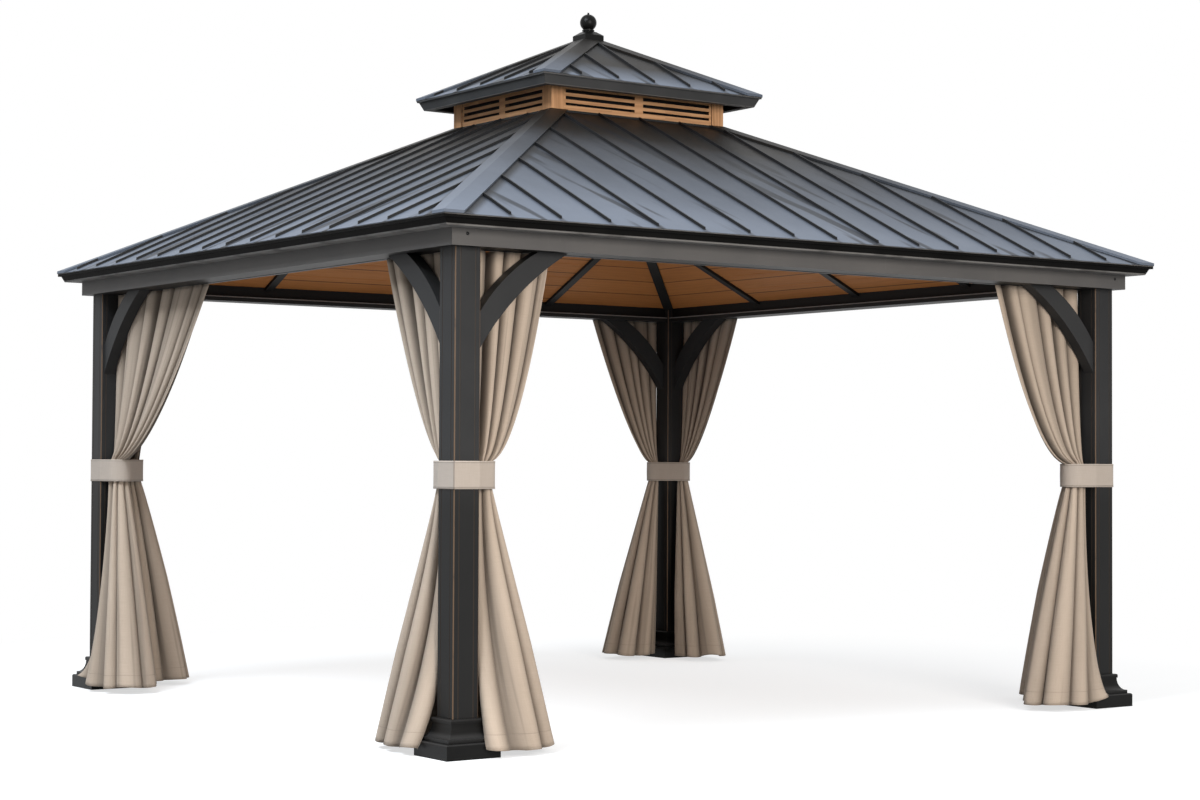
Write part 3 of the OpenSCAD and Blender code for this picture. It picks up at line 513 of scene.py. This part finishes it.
# %% Black shade panels
WIRE_PITCH, SHADE_PANEL_IN, SHADE_PANEL_GAP, SHADE_PANEL_THICK = 0.0016, 0.0350, 0.002, 0.001


def side_sizes(i):
    """Half length and half depth between the post centres of side i, 0 at the front, and of the lantern."""
    pick = [0, 1] if i % 2 == 0 else [1, 0]
    return (*np.array([POST_X, POST_Y])[pick], *LANTERN[pick])


def turned(points, i):
    """Turns points from the front side to side i, a quarter turn each."""
    c, s = [(1, 0), (0, 1), (-1, 0), (0, -1)][i]
    x, y, z = np.moveaxis(points, -1, 0)
    return np.stack([c * x - s * y, s * x + c * y, z], -1)


def shade_panel_weave(name):
    """Black woven look for the shade panels: the product of two waves of 1.6 mm."""
    f = Finish(name)
    x, y, z = f.split(f.place())
    weave = ((x + y) * 2 * np.pi / WIRE_PITCH).wave() * (z * 2 * np.pi / WIRE_PITCH).wave() * 0.5 + 0.5
    colour = f.ramp(weave, (0.2, (0.004, 0.004, 0.004)), (0.8, (0.012, 0.012, 0.012)))
    return f.done(colour, 0.7, weave, 0.0003, Specular_IOR_Level=0.1)


def lantern_shade_panels(material):
    """One panel per side, 1.5 mm behind the louvre panels and as high, from corner post to corner post."""
    corners = np.array(nodes["louvre_panels"].bound_box)
    low, high = corners[:, 2].min() + SHADE_PANEL_GAP, corners[:, 2].max() - SHADE_PANEL_GAP
    sides = []
    for i in range(4):
        _, _, half, deep = side_sizes(i)
        reach = half - LANTERN_POST - SHADE_PANEL_GAP
        x, z = np.meshgrid(np.array([-1, 1]) * reach, np.array([low, high]))
        sides.append(turned(np.stack([x, np.full_like(x, SHADE_PANEL_IN - deep), z], -1), i).reshape(-1, 3))
    faces = np.concatenate([grid_faces(2, 2) + 4 * i for i in range(4)])
    return mesh_piece("lantern_shade_panels", np.concatenate(sides), faces, material,
                      smooth=False)


# black panels that paint the shade inside the lantern
shade_panels = thicken(lantern_shade_panels(shade_panel_weave("shade_panel_wire")), SHADE_PANEL_THICK)
print(shade_panels.name, "with", len(shade_panels.data.polygons), "panels")

# %% [markdown]
# The ceiling is lined with tongued boards that run with the eaves, about 150 mm to the face, between the
# rafters. Each board is a shallow strip with bevelled edges under the ceiling panel, so the grooves are
# real and stay sharp from any side. A board is worked out from three numbers: its bay, its row and the
# place across its face.

# %% Ceiling boards
RAFTER_W, HIP_W, RING_OUT, GAP = 0.046, 0.056, 0.003, 0.0012
BOARD, CEILING_SEAT = 0.150, 0.080
SLOPE_MIN = ROOF_RISE / (EAVE - LANTERN).max()
CEILING_DROP = (EAVE_Z - BEAM_Z) + (EAVE_OUT + BEAM_IN) * SLOPE_MIN - CEILING_SEAT
BOARD_TONES = (0.645, 0.268, 0.086), (0.552, 0.217, 0.065), (0.415, 0.156, 0.043)
BOARD_GROOVE = (0.018, 0.008, 0.003)


def ceiling_boards(i, material):
    """Boards on one slope. Row r lies between depths d(r) and d(r+1) from the centre; its ends follow the
    hip line half = lantern + (d - lantern depth) * narrowing. Across a board the height falls from the
    groove, by a bevel, to the face: h = 0 at the edges and -3.5 mm between."""
    half, deep, lan, lan_deep = side_sizes(i)
    run = deep + EAVE_OUT - lan_deep
    pitch, narrow = ROOF_RISE / run, (half + EAVE_OUT - lan) / run
    out, top = deep - BEAM_IN - GAP, lan_deep + RING_OUT + GAP
    edges = np.r_[np.arange(out, top + 0.04, -BOARD * np.cos(np.arctan(pitch))), top]
    cross = np.array([0.0, 0.012, 0.026, 0.5, 0.974, 0.988, 1.0])
    fall = np.array([0.0, 0.0022, 0.0035, 0.0035, 0.0035, 0.0022, 0.0])
    hip = HIP_W / 2 * np.hypot(1, narrow) + GAP
    stops = np.array([-half / 2, 0.0, half / 2])
    depth = edges[:-1, None] + (edges[1:] - edges[:-1])[:, None] * cross
    reach = lan + (depth - lan_deep) * narrow - hip
    starts = np.r_[-np.inf, stops + RAFTER_W / 2 + GAP]
    ends = np.r_[stops - RAFTER_W / 2 - GAP, np.inf]
    low = np.maximum(starts[:, None, None], -reach)
    high = np.minimum(ends[:, None, None], reach)
    steps = np.linspace(0, 1, 9)
    x = low[..., None] + np.maximum(high - low, 0)[..., None] * steps
    y = np.broadcast_to(-depth[None, :, :, None], x.shape)
    z = EAVE_Z - CEILING_DROP + (deep + EAVE_OUT - depth) * pitch - fall
    points = np.stack([x, y, np.broadcast_to(z[None, :, :, None], x.shape)], -1)
    keep = (high - low).min(-1) > 0.03
    row = np.broadcast_to(np.arange(len(edges) - 1)[None, :], keep.shape)[keep]
    bay = np.broadcast_to(np.arange(4)[:, None], keep.shape)[keep]
    points = points[keep]
    count, rows, cols = points.shape[:3]
    one = grid_faces(rows, cols)[:, ::-1]
    faces = (one[None] + (np.arange(count) * rows * cols)[:, None, None]).reshape(-1, 4)
    shift = np.random.default_rng(31 + i).uniform(0, 40, (4, len(edges)))[bay, row]
    cut = np.stack([points[..., 0] + shift[:, None, None],
                    np.broadcast_to((row[:, None] + cross)[:, :, None] * BOARD + 10 * bay[:, None, None],
                                    points.shape[:3])], -1)
    return mesh_piece("ceiling_boards_" + BEAMS[i][5:], turned(points, i).reshape(-1, 3), faces, material,
                      cut.reshape(-1, 2), smooth=False)


def board_wood(name):
    """Warm brown boards: each row has its own tone and its own piece of grain."""
    f = Finish(name)
    along, across, _ = f.split(f.cloth_place())
    row = (across / BOARD).floor()
    tint = f.node("ShaderNodeTexWhiteNoise", {"noise_dimensions": "1D"}, {"W": row})[0]
    colour, rough, height = wood_tones(f, along, across, row * 0.37, row * 2.3, BOARD_TONES, 0.08)
    edge = abs((across / BOARD).fract() - 0.5)
    colour = f.blend(tint * 0.35, colour, BOARD_TONES[2])
    colour = f.blend(f.step(edge, 0.468, 0.490) * 0.9, colour, BOARD_GROOVE)
    return f.done(colour, rough, height, 0.0004, Specular_IOR_Level=0.25)


BOARD_WOOD = board_wood("ceiling_board_wood")
boards = [ceiling_boards(i, BOARD_WOOD) for i in range(4)]
dress(BOARD_WOOD, "ceiling_front", "ceiling_right", "ceiling_back", "ceiling_left")
for board in boards:
    print(board.name, len(board.data.polygons), "faces")

# %% [markdown]
# Curtain cloth is a plain weave of taupe yarn, dyed a little unevenly, with a hem turned up and stitched.
# Everything is read from the map of the flat cut, so the weave, the hem and the stitches bend with the
# folds. Across the cut the map runs from 0 to its width; up it, from the hem. The valleys of the folds
# and long creases are painted darker, as shade; a second map says where crests and valleys are, from -1
# to 1, and the two faces of the cloth read it with opposite signs.

# %% Cloth finish
YARN, STITCH = 0.0022, 0.0065


def cloth(name, pale, dark, hems, stitch, side=0, middle_crease_shade=0):
    """Plain weave: two crossed waves of yarn, slubs along the yarn, and stitch rows at the given heights. If
    asked, it has painted shade where side * fold is low and along long creases, or along a crease in the
    cut's middle."""
    f = Finish(name)
    across, up, _ = f.split(f.cloth_place())
    warp = (across * 2 * np.pi / YARN).wave()
    weft = (up * 2 * np.pi / YARN).wave()
    weave = warp * weft * 0.5 + 0.5
    slub = f.noise(f.join(across * 420, up * 14, 0.0), 1.0, 3) * 0.5 + f.noise(
        f.join(across * 12, up * 380, 3.0), 1.0, 3) * 0.5
    drift = f.noise(f.join(across * 3.5, up * 1.2, 7.0), 1.0, 4)
    tone = slub * 0.55 + drift * 0.35 + weave * 0.10
    colour = f.ramp(tone, (0.33, dark), (0.67, pale))
    if side:
        depth, _, _ = f.split(f.cloth_place("fold"))
        # painted shade in the valleys of the folds
        valley_shade = ((1 - depth * side) * 0.5).most(0.0) ** 0.54
        # painted shade along long creases
        painted_crease_shade = f.step(f.noise(f.join(across * 24, up * 0.8, 2.0), 1.0, 2), 0.53, 0.70)
        share = 0.66 + f.step(up, 1.05, 1.15) * 0.26
        colour = f.blend(painted_crease_shade * 0.38, colour, shaded(dark, 0.40))
        colour = f.blend(valley_shade * share, colour, shaded(dark, 0.12))
    if middle_crease_shade:
        # painted shade along the crease in the middle of the tie
        middle = 1 - f.step(abs(across), 0.0012, 0.0042)
        colour = f.blend(middle * middle_crease_shade, colour, shaded(dark, 0.30))
    height = weave * 0.5 + slub * 0.5
    for place in hems:
        line = 1 - f.step(abs(up - place), 0.0010, 0.0022)
        dash = f.step((across * 2 * np.pi / STITCH).wave(), -0.55, -0.25)
        colour = f.blend(line * (stitch + dash * 0.15), colour, shaded(dark, 0.42))
        height = height - line * 1.2 + line * dash * 0.9
    return f.done(colour, 0.86 - slub * 0.08, height, 0.0006, Specular_IOR_Level=0.22,
                  Sheen_Weight=0.08, Sheen_Roughness=0.45)


CURTAIN_LONG, TIE_Z, TIE_H, HEM_Z = 1.974, 1.115, 0.112, 0.028
TAUPE = (0.540, 0.432, 0.341), (0.435, 0.343, 0.265)
TIE_TAUPE = (0.49, 0.416, 0.356), (0.407, 0.342, 0.287)
CURTAIN_CLOTH = cloth("curtain_cloth", *TAUPE, hems=[0.062], stitch=0.18, side=1)
CURTAIN_BACK = cloth("curtain_cloth_inside", *TAUPE, hems=[0.062], stitch=0.18, side=-1)
TIE_CLOTH = cloth("tie_cloth", *TIE_TAUPE, hems=[0.007, 0.105], stitch=0.42, middle_crease_shade=0.6)
print("cloth ready")

# %% [markdown]
# A curtain hangs in folds from its rail, closes like an accordion towards the tie and opens again into
# flutes. At each height the cloth is one line seen from above: a row under the rail, a short deep row above
# the tie, a bent C just below it and a wide C at the hem. The folds are a wave on that line with broad
# crests outside and narrow valleys inside. The depth of the wave is worked out for each height so that
# the cloth keeps its width where there is room, as real cloth does. The eight are not drawn back evenly,
# so each has its own gathered length, its own reach at the hem, and its own cut and number of folds.
#
# There are three ways to hang: inside the braces, inside but with a smaller bundle at the near post, and
# outside the braces at the far one. Each gives the height of the top, the row under the rail and the waist in
# the tie, both inwards from the posts' axes, the room for folds, the bundle's place and what a tie wraps.

# %% Curtain shape
INSIDE = {"top": 2.0175, "row": 0.0405, "waist": 0.017, "room": 0.022, "bend": 0.5, "tuck": 0.004,
          "deep": -1, "bundle": 0.123, "wrap": 0.0625, "open": 0.0}
NEAR = {**INSIDE, "bundle": 0.114, "wrap": 0.0535}
OUTSIDE = {**INSIDE, "top": 2.0195, "row": -0.0745, "waist": -0.024, "room": 0.0175, "bend": 0.35,
           "tuck": 0.044, "deep": 1, "bundle": 0.100, "wrap": 0.0395, "open": 0.045}
HALF_ROW, RING, FROM_POST = 0.051, 0.0375, 0.068
ROOM_ON_TIE, ROOM_UNDER_TIE, ROOM_AT_HEM = 0.043, 0.019, 0.032
HEM_LINE = np.array([[0.050, -0.150], [0.130, -0.158], [0.230, -0.150], [0.340, -0.130],
                     [0.425, -0.082], [0.455, 0.0], [0.415, 0.085], [0.320, 0.125],
                     [0.225, 0.120], [0.155, 0.092], [0.110, 0.060]])
ACROSS, LEVELS, CLOTH_THICK = 241, 101, 0.0014


def smooth_noise(rng, s, count):
    """A few low waves of random size and phase, about -1 to 1."""
    k = np.arange(1, count + 1)[:, None]
    size, phase = rng.normal(0, 1, (count, 1)) / k ** 0.5, rng.uniform(0, 2 * np.pi, (count, 1))
    return (size * np.sin(2 * np.pi * k * s + phase)).sum(0) / np.sqrt((1 / k).sum())


def curve_through(spots, s):
    """Smooth curve through points: a cubic between each pair, whose slopes come from the neighbours."""
    far = np.r_[0, np.cumsum(np.linalg.norm(np.diff(spots, axis=0), axis=1))]
    far /= far[-1]
    slope = np.gradient(spots, far, axis=0)
    k = np.clip(np.searchsorted(far, s, side="right") - 1, 0, len(spots) - 2)
    step = (far[k + 1] - far[k])[:, None]
    t = ((s - far[k])[:, None]) / step
    return ((2 * t ** 3 - 3 * t ** 2 + 1) * spots[k] + (t ** 3 - 2 * t ** 2 + t) * step * slope[k]
            + (3 * t ** 2 - 2 * t ** 3) * spots[k + 1] + (t ** 3 - t ** 2) * step * slope[k + 1])


def curtain_lines(z, s, plan, hang):
    """The cloth's middle line at each height, (levels, across, 2) along the side and inwards, with its
    outward normals, and the room that the wave has there. Under the rail it is a row; on top of the tie it
    is a short row, deepest in the middle; under the tie it is an arc of 312 degrees, open towards the post;
    at the hem it is a wide C that starts in front of the post's skirt. Beside the post it opens late, with
    the drop to the power 0.9 + 4 exp(-s / 0.11). The change in the tie is hidden."""
    low, high = TIE_Z - TIE_H / 2, TIE_Z + TIE_H / 2
    part = hang["wrap"] / INSIDE["wrap"]
    rise = np.clip((z - high) / (hang["top"] - high), 0, 1)[:, None]
    held = np.clip((high - z) / TIE_H, 0, 1)[:, None]
    drop = np.clip((low - z) / (low - HEM_Z), 0, 1)[:, None]
    spread, lift = rise ** plan["sweep"], rise ** hang["bend"]
    first, last = hang["bundle"] - HALF_ROW * part, hang["bundle"] + HALF_ROW * part
    start, end = first - hang["tuck"] * spread, last + (plan["top"] + FROM_POST - last) * spread
    row = np.stack(np.broadcast_arrays(start + (end - start) * s,
                                       hang["waist"] + (hang["row"] - hang["waist"]) * lift), -1)
    angle = np.radians(-158 + 312 * s)
    ring = (np.array([hang["bundle"], hang["waist"]])
            + RING * part * np.stack([np.cos(angle), np.sin(angle)], -1))[None]
    hem = curve_through(HEM_LINE * [plan["reach"], 1], s)[None]
    hem[..., 0] += hang["open"] * np.clip((s - 0.6) / 0.4, 0, 1)
    flare = ring + (hem - ring) * (drop ** (0.9 + 4.0 * np.exp(-s / 0.11)))[..., None]
    line = row + (flare - row) * held[..., None]
    ends = np.sqrt(1 - 0.8 * (2 * s - 1) ** 2)
    on_tie, under_tie = ROOM_ON_TIE * part, ROOM_UNDER_TIE * part
    above = (on_tie + (hang["room"] - on_tie) * lift) * (1 + (ends - 1) * (1 - lift))
    room = above + (under_tie + (ROOM_AT_HEM - under_tie) * drop - above) * held
    along = np.gradient(line, axis=1)
    along /= np.linalg.norm(along, axis=-1, keepdims=True)
    out = np.stack([along[..., 1], -along[..., 0]], -1)
    return line, along, out, room


def lengths(points):
    """Length of each row of points."""
    return np.linalg.norm(np.diff(points, axis=1), axis=-1).sum(1)


def curtain_points(seed, plan, hang):
    """Wave on the middle line: out by room * share * (1 - 2 |cos(phase / 2)|^3), and back along it by a
    pinch times sin(phase), which narrows the valleys. The number of folds changes inside the tie. Above it
    the crests face the braces, and on the other side the wave goes up to 3 times as far. Near the heading
    small gathers ride on the folds, and the hem may be hitched up beside the post."""
    rng = np.random.default_rng(seed)
    s, t = np.linspace(0, 1, ACROSS), np.linspace(0, 1, LEVELS)
    z = HEM_Z + (hang["top"] - HEM_Z) * t
    line, along, out, room = curtain_lines(z, s, plan, hang)
    held = np.clip((TIE_Z + TIE_H / 2 - z) / TIE_H, 0, 1)[:, None]
    folds = plan["folds"][0] + (plan["folds"][1] - plan["folds"][0]) * held
    width = plan["width"]
    inner = np.clip((1 - s) / 0.15, 0, 1)
    bend = smooth_noise(rng, s, 5) * 0.16 * inner
    drift = np.outer(np.sin(np.pi * np.clip(t * 1.1, 0, 1)), smooth_noise(rng, s, 4) * inner) * 0.30
    phase = 2 * np.pi * (folds * s + bend) + drift
    size = 1 - 0.18 * (1 + smooth_noise(rng, s, 7))[None, :].clip(0, 2)
    size = size * (0.6 + 0.4 * np.clip(s / 0.2, 0, 1)) * (0.35 + 0.65 * np.clip((1 - s) / 0.16, 0, 1))
    fold = (1 - 2 * np.abs(np.cos(phase / 2)) ** 3) * (held - hang["deep"] * (1 - held))
    high_up = np.clip((z - TIE_Z - TIE_H / 2) / 0.4, 0, 1)[:, None]
    low_down = np.clip((TIE_Z - TIE_H / 2 - z) / 0.4, 0, 1)[:, None] * np.clip((s - 0.15) / 0.15, 0, 1)
    away = np.where(fold * hang["deep"] > 0, 1 + 2 * high_up * np.clip((1 - s) / 0.3, 0, 1), 1)
    wave = fold * size * away * np.where(fold < 0, 1 + 0.5 * low_down, 1)
    pinch = np.sin(phase) * 0.85
    gather = np.exp((z - hang["top"]) / 0.10)[:, None] * np.sin(3 * phase + 1.0) * 0.0022
    span = lengths(line)[:, None] / folds / (2 * np.pi)

    def folded(share):
        move = room * share[:, None] * wave + gather
        back = span * pinch * np.minimum(share, 1)[:, None]
        return line + out * move[..., None] - along * back[..., None]

    low, high = np.full(LEVELS, 0.15), np.full(LEVELS, 1.0)
    for _ in range(18):
        middle = (low + high) / 2
        short = lengths(folded(middle)) < width
        low, high = np.where(short, middle, low), np.where(short, high, middle)
    flat = folded(high)
    ripple = np.clip(smooth_noise(rng, s, 5) * 0.006, -0.004, 0.02)
    up = z[:, None] + np.outer(np.exp(-t / 0.03), ripple + plan["hitch"] * np.exp(-(s / 0.13) ** 2))
    points = np.concatenate([flat, up[..., None]], -1)
    cut = np.stack(np.broadcast_arrays(s[None, :] * width, (t * CURTAIN_LONG)[:, None]), -1)
    return points, cut, np.stack([fold, np.zeros_like(fold)], -1), lengths(flat)


def corner_place(points, i, end):
    """From a side's own measure, along it from the post and inwards, to the frame: end 1 is mirrored."""
    half, deep = side_sizes(i)[:2]
    x, y, z = np.moveaxis(points, -1, 0)
    x = x - half
    return turned(np.stack([-x if end else x, y - deep, z], -1), i)


EVEN = {"top": 0.545, "reach": 1.0, "folds": (5.5, 6.5), "width": 1.12, "sweep": 0.68, "hitch": 0.0,
        "hang": INSIDE}
CURTAINS = {
    "front_left": {**EVEN, "top": 0.385, "reach": 0.94, "folds": (4.5, 6.5), "width": 1.05, "sweep": 0.54,
                   "hang": NEAR},
    "front_right": {**EVEN, "top": 0.575, "sweep": 0.53, "hitch": 0.040},
    "right_front": {**EVEN, "top": 0.46, "width": 1.0, "sweep": 1.1},
    "right_back": {**EVEN, "top": 0.50, "width": 1.05, "sweep": 0.75, "hang": OUTSIDE},
    "back_right": {**EVEN, "top": 0.46, "width": 1.0, "sweep": 0.75, "hang": OUTSIDE},
    "back_left": {**EVEN, "top": 0.36, "width": 1.0, "sweep": 1.4},
    "left_back": {**EVEN, "top": 1.04, "folds": (6.5, 7.5), "width": 1.42, "sweep": 0.66, "hitch": 0.045},
    "left_front": {**EVEN, "top": 0.575, "reach": 1.12, "width": 1.16, "hang": NEAR}}
SIDES = ["front", "right", "back", "left"]
for number, (name, plan) in enumerate(CURTAINS.items()):
    side, near = name.split("_")
    i = SIDES.index(side)
    end = int(near == SIDES[(i + 1) % 4])
    points, cut, fold, widths = curtain_points(20 + number, plan, plan["hang"])
    faces = grid_faces(LEVELS, ACROSS)
    faces = faces[:, ::-1] if end else faces
    piece = mesh_piece("cloth_" + name, corner_place(points, i, end).reshape(-1, 3), faces, CURTAIN_CLOTH,
                       cut.reshape(-1, 2), fold=fold.reshape(-1, 2))
    thicken(piece, CLOTH_THICK, CURTAIN_BACK)
    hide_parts("curtain_" + name)
    print(piece.name, "width at hem, tie, rail:", np.round(widths[[0, LEVELS // 2, -1]], 3))

# %% [markdown]
# A tie is one band of the same cloth, drawn tight round the post and both bundles. A tight band is the
# outline of what it holds, so for every direction it lies on whichever disc reaches furthest that way:
# three corners of the post or one of the two bundles. The line is then spaced evenly.

# %% Tie bands
CORNER, CORNER_ROUND, BAND_GAP, BAND_THICK = 0.058, 0.002, 0.0018, 0.0024
BAND_AROUND, BAND_UP = 320, 15


def band_line(count, gap, hang):
    """Points of the tight loop, evenly spaced, and its length: the furthest disc in each direction."""
    bundle = np.array([hang["bundle"], hang["waist"]])
    corners = CORNER * np.array([[-1, -1], [1, -1], [-1, 1]])
    centres = np.concatenate([corners, [bundle, bundle[::-1]]])
    radii = np.array([CORNER_ROUND] * 3 + [hang["wrap"]] * 2) + gap
    angle = np.radians(np.linspace(45, 405, 2880, endpoint=False))
    way = np.stack([np.cos(angle), np.sin(angle)], -1)
    best = (way @ centres.T + radii).argmax(1)
    loop = centres[best] + way * radii[best][:, None]
    loop = np.concatenate([loop, loop[:1]])
    far = np.r_[0, np.cumsum(np.linalg.norm(np.diff(loop, axis=0), axis=1))]
    even = np.linspace(0, far[-1], count, endpoint=False)
    return np.stack([np.interp(even, far, loop[:, 0]), np.interp(even, far, loop[:, 1])], -1), far[-1]


def tie_band(name, right, back):
    """Band: the loop carried up its height, standing off a little where it crosses the soft bundles."""
    line, around = band_line(BAND_AROUND, BAND_GAP, [NEAR, INSIDE, OUTSIDE][right + back])
    up = np.linspace(0, 1, BAND_UP)
    ahead = np.roll(line, -1, 0) - np.roll(line, 1, 0)
    out = np.stack([ahead[:, 1], -ahead[:, 0]], -1) / np.linalg.norm(ahead, axis=1)[:, None]
    rng = np.random.default_rng(60 + 2 * right + back)
    soft = np.clip((line.sum(1) - 0.02) / 0.06, 0, 1)
    pucker = smooth_noise(rng, np.linspace(0, 1, len(line)), 14) * 0.0011 * soft
    edge = (np.abs(2 * up - 1) ** 6 * 0.0010)[:, None]
    plan = line[None] + out[None] * (edge + pucker * np.sin(np.pi * up)[:, None])[..., None]
    z = TIE_Z + (up - 0.5) * TIE_H
    points = np.concatenate([plan, np.broadcast_to(z[:, None, None], (*plan.shape[:2], 1))], -1)
    sign = np.array([-1 if right else 1, -1 if back else 1, 1.0])
    place = (points - [POST_X, POST_Y, 0]) * sign
    along = (np.arange(len(line)) - line.sum(1).argmin()) * around / len(line)
    cut = np.stack(np.broadcast_arrays(along[None, :], (up * TIE_H)[:, None]), -1)
    faces = grid_faces(len(up), len(line), around=True)
    faces = faces if right == back else faces[:, ::-1]
    piece = mesh_piece("band_" + name, place.reshape(-1, 3), faces, TIE_CLOTH,
                       cut.reshape(-1, 2))
    thicken(piece, BAND_THICK)
    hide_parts("tie_" + name)
    return piece, around


for number, post in enumerate(POSTS):
    piece, around = tie_band(post[5:], right=number % 2, back=number // 2)
    print(piece.name, "loop", round(float(around), 3), "m")

# %% [markdown]
# The front and back beams are held to the posts by screws with low domed heads, one to each end on the
# outside. A head is a profile turned round its axis: a dome with a hollow for the key.

# %% Screws
SCREW_PAST, SCREW_Z, SCREW_R = 0.030, 2.068, 0.0075


def screw_heads(name, centres, ways, radius, material):
    """Domes turned about their axis. Profile: key hollow, rim of the hollow, dome, edge, foot."""
    r = np.array([0.0, 0.30, 0.34, 0.42, 0.70, 0.92, 1.0, 1.0]) * radius
    h = np.array([0.10, 0.10, 0.36, 0.42, 0.36, 0.20, 0.08, -0.05]) * radius
    turn = np.linspace(0, 2 * np.pi, 16, endpoint=False)
    centres, ways = np.asarray(centres, float), np.asarray(ways, float)
    side = np.cross(ways, [0, 0, 1.0])
    side /= np.linalg.norm(side, axis=1, keepdims=True)
    top = np.cross(side, ways)
    ring = (side[:, None] * np.cos(turn)[None, :, None] + top[:, None] * np.sin(turn)[None, :, None])
    points = (centres[:, None, None] + ring[:, None] * r[None, :, None, None]
              + ways[:, None, None] * h[None, :, None, None])
    faces = grid_faces(len(r), len(turn), around=True)
    faces = (faces[None] + (np.arange(len(centres)) * len(r) * len(turn))[:, None, None]).reshape(-1, 4)
    return mesh_piece(name, points.reshape(-1, 3), faces, material)


def beam_screws():
    """Centres and directions of the screws at both ends of the outer face of the front and back beams."""
    centres, ways = [], []
    for i in (0, 2):
        half, deep = side_sizes(i)[:2]
        spots = np.array([[sign * (half + SCREW_PAST), -deep - BEAM_OUT, SCREW_Z] for sign in (-1, 1)])
        centres.append(turned(spots, i))
        ways.append(turned(np.tile([0.0, -1.0, 0.0], (len(spots), 1)), i))
    return np.concatenate(centres), np.concatenate(ways)


SCREW_TONES = (0.004, 0.004, 0.004), (0.010, 0.010, 0.010)
SCREW_COAT = dark_coat("screw_coat", *SCREW_TONES, rough=0.22, peel_size=900)
screws = screw_heads("beam_screws", *beam_screws(), SCREW_R, SCREW_COAT)
print(screws.name, len(screws.data.polygons), "faces")

# %% [markdown]
# The object stands on a plain white floor in a white room. The world gives an even soft light; camera,
# glossy and clear rays see plain white, so the backdrop stays white without more light on the object.
# A large warm lamp low in front and a larger cool one high on the left give the faces their shape.

# %% Floor, world and lamps
FLOOR_HALF, FLOOR_Z, AIM = 60.0, -0.0005, (0, 0, 1.2)


def plain_rays(f):
    """1 for what camera, glossy and clear rays see, 0 for light that falls on surfaces."""
    rays = f.node("ShaderNodeLightPath")
    return rays["Is Camera Ray"].most(rays["Is Glossy Ray"].most(rays["Is Transmission Ray"]))


def white_floor():
    """Pale floor that keeps the shadow: to the eye half matt, half glowing, and plain white further out."""
    f = Finish("floor_white")
    x, y, _ = f.split(f.place())
    far = f.step((x * x + y * y) ** 0.5, 2.4, 5.0)
    matt = f.node("ShaderNodeBsdfDiffuse", None, {"Color": (0.35, 0.35, 0.35, 1)})
    half = f.node("ShaderNodeBsdfDiffuse", None, {"Color": (0.50, 0.50, 0.50, 1)})
    glow = f.node("ShaderNodeEmission", None, {"Color": (1, 1, 1, 1), "Strength": 0.64})
    white = f.node("ShaderNodeEmission", None, {"Color": (1, 1, 1, 1), "Strength": 1.0})
    near = f.node("ShaderNodeAddShader", None, {0: half[0], 1: glow[0]})
    plain = f.node("ShaderNodeMixShader", None, {0: far, 1: near[0], 2: white[0]})
    whole = f.node("ShaderNodeMixShader", None, {0: plain_rays(f), 1: matt[0], 2: plain[0]})
    f.node("ShaderNodeOutputMaterial", None, {"Surface": whole[0]})
    return f.owner


corners = [(x * FLOOR_HALF, y * FLOOR_HALF, FLOOR_Z) for x, y in [(-1, -1), (1, -1), (1, 1), (-1, 1)]]
floor_mesh = bpy.data.meshes.new("floor")
floor_mesh.from_pydata(corners, [], [(0, 1, 2, 3)])
floor_mesh.materials.append(white_floor())
floor = bpy.data.objects.new("floor", floor_mesh)
bpy.context.scene.collection.objects.link(floor)

world = Finish("white_room", world=True)
bpy.context.scene.world = world.owner
_, _, height = world.split(world.node("ShaderNodeTexCoord")["Generated"])
level = world.node("ShaderNodeBackground", None, {"Color": (0.98, 0.99, 1.0, 1), "Strength": 0.28})
above = world.node("ShaderNodeBackground", None, {"Color": (0.90, 0.95, 1.0, 1), "Strength": 0.75})
soft = world.node("ShaderNodeMixShader", None, {0: height, 1: level[0], 2: above[0]})
plain = world.node("ShaderNodeBackground", None, {"Color": (1, 1, 1, 1), "Strength": 1.0})
both = world.node("ShaderNodeMixShader", None, {0: plain_rays(world), 1: soft[0], 2: plain[0]})
world.node("ShaderNodeOutputWorld", None, {"Surface": both[0]})


def lamp(name, place, aim, size, power, colour):
    """A square soft lamp at a place, turned towards a point."""
    data = bpy.data.lights.new(name, "AREA")
    data.size, data.energy, data.color = size, power, colour
    made = bpy.data.objects.new(name, data)
    back = np.array(place, float) - aim
    back /= np.linalg.norm(back)
    right = np.cross([0, 0, 1.0], back)
    right /= np.linalg.norm(right)
    made.matrix_world = placed([right, np.cross(back, right), back], place)
    bpy.context.scene.collection.objects.link(made)


lamp("key", (-2.0, -10.5, 3.8), AIM, size=4.0, power=730, colour=(1.0, 0.960, 0.91))
lamp("fill", (-7.4, -2.2, 9.3), AIM, size=5.0, power=1290, colour=(0.84, 0.92, 1.0))
print("floor, world and lamps ready")
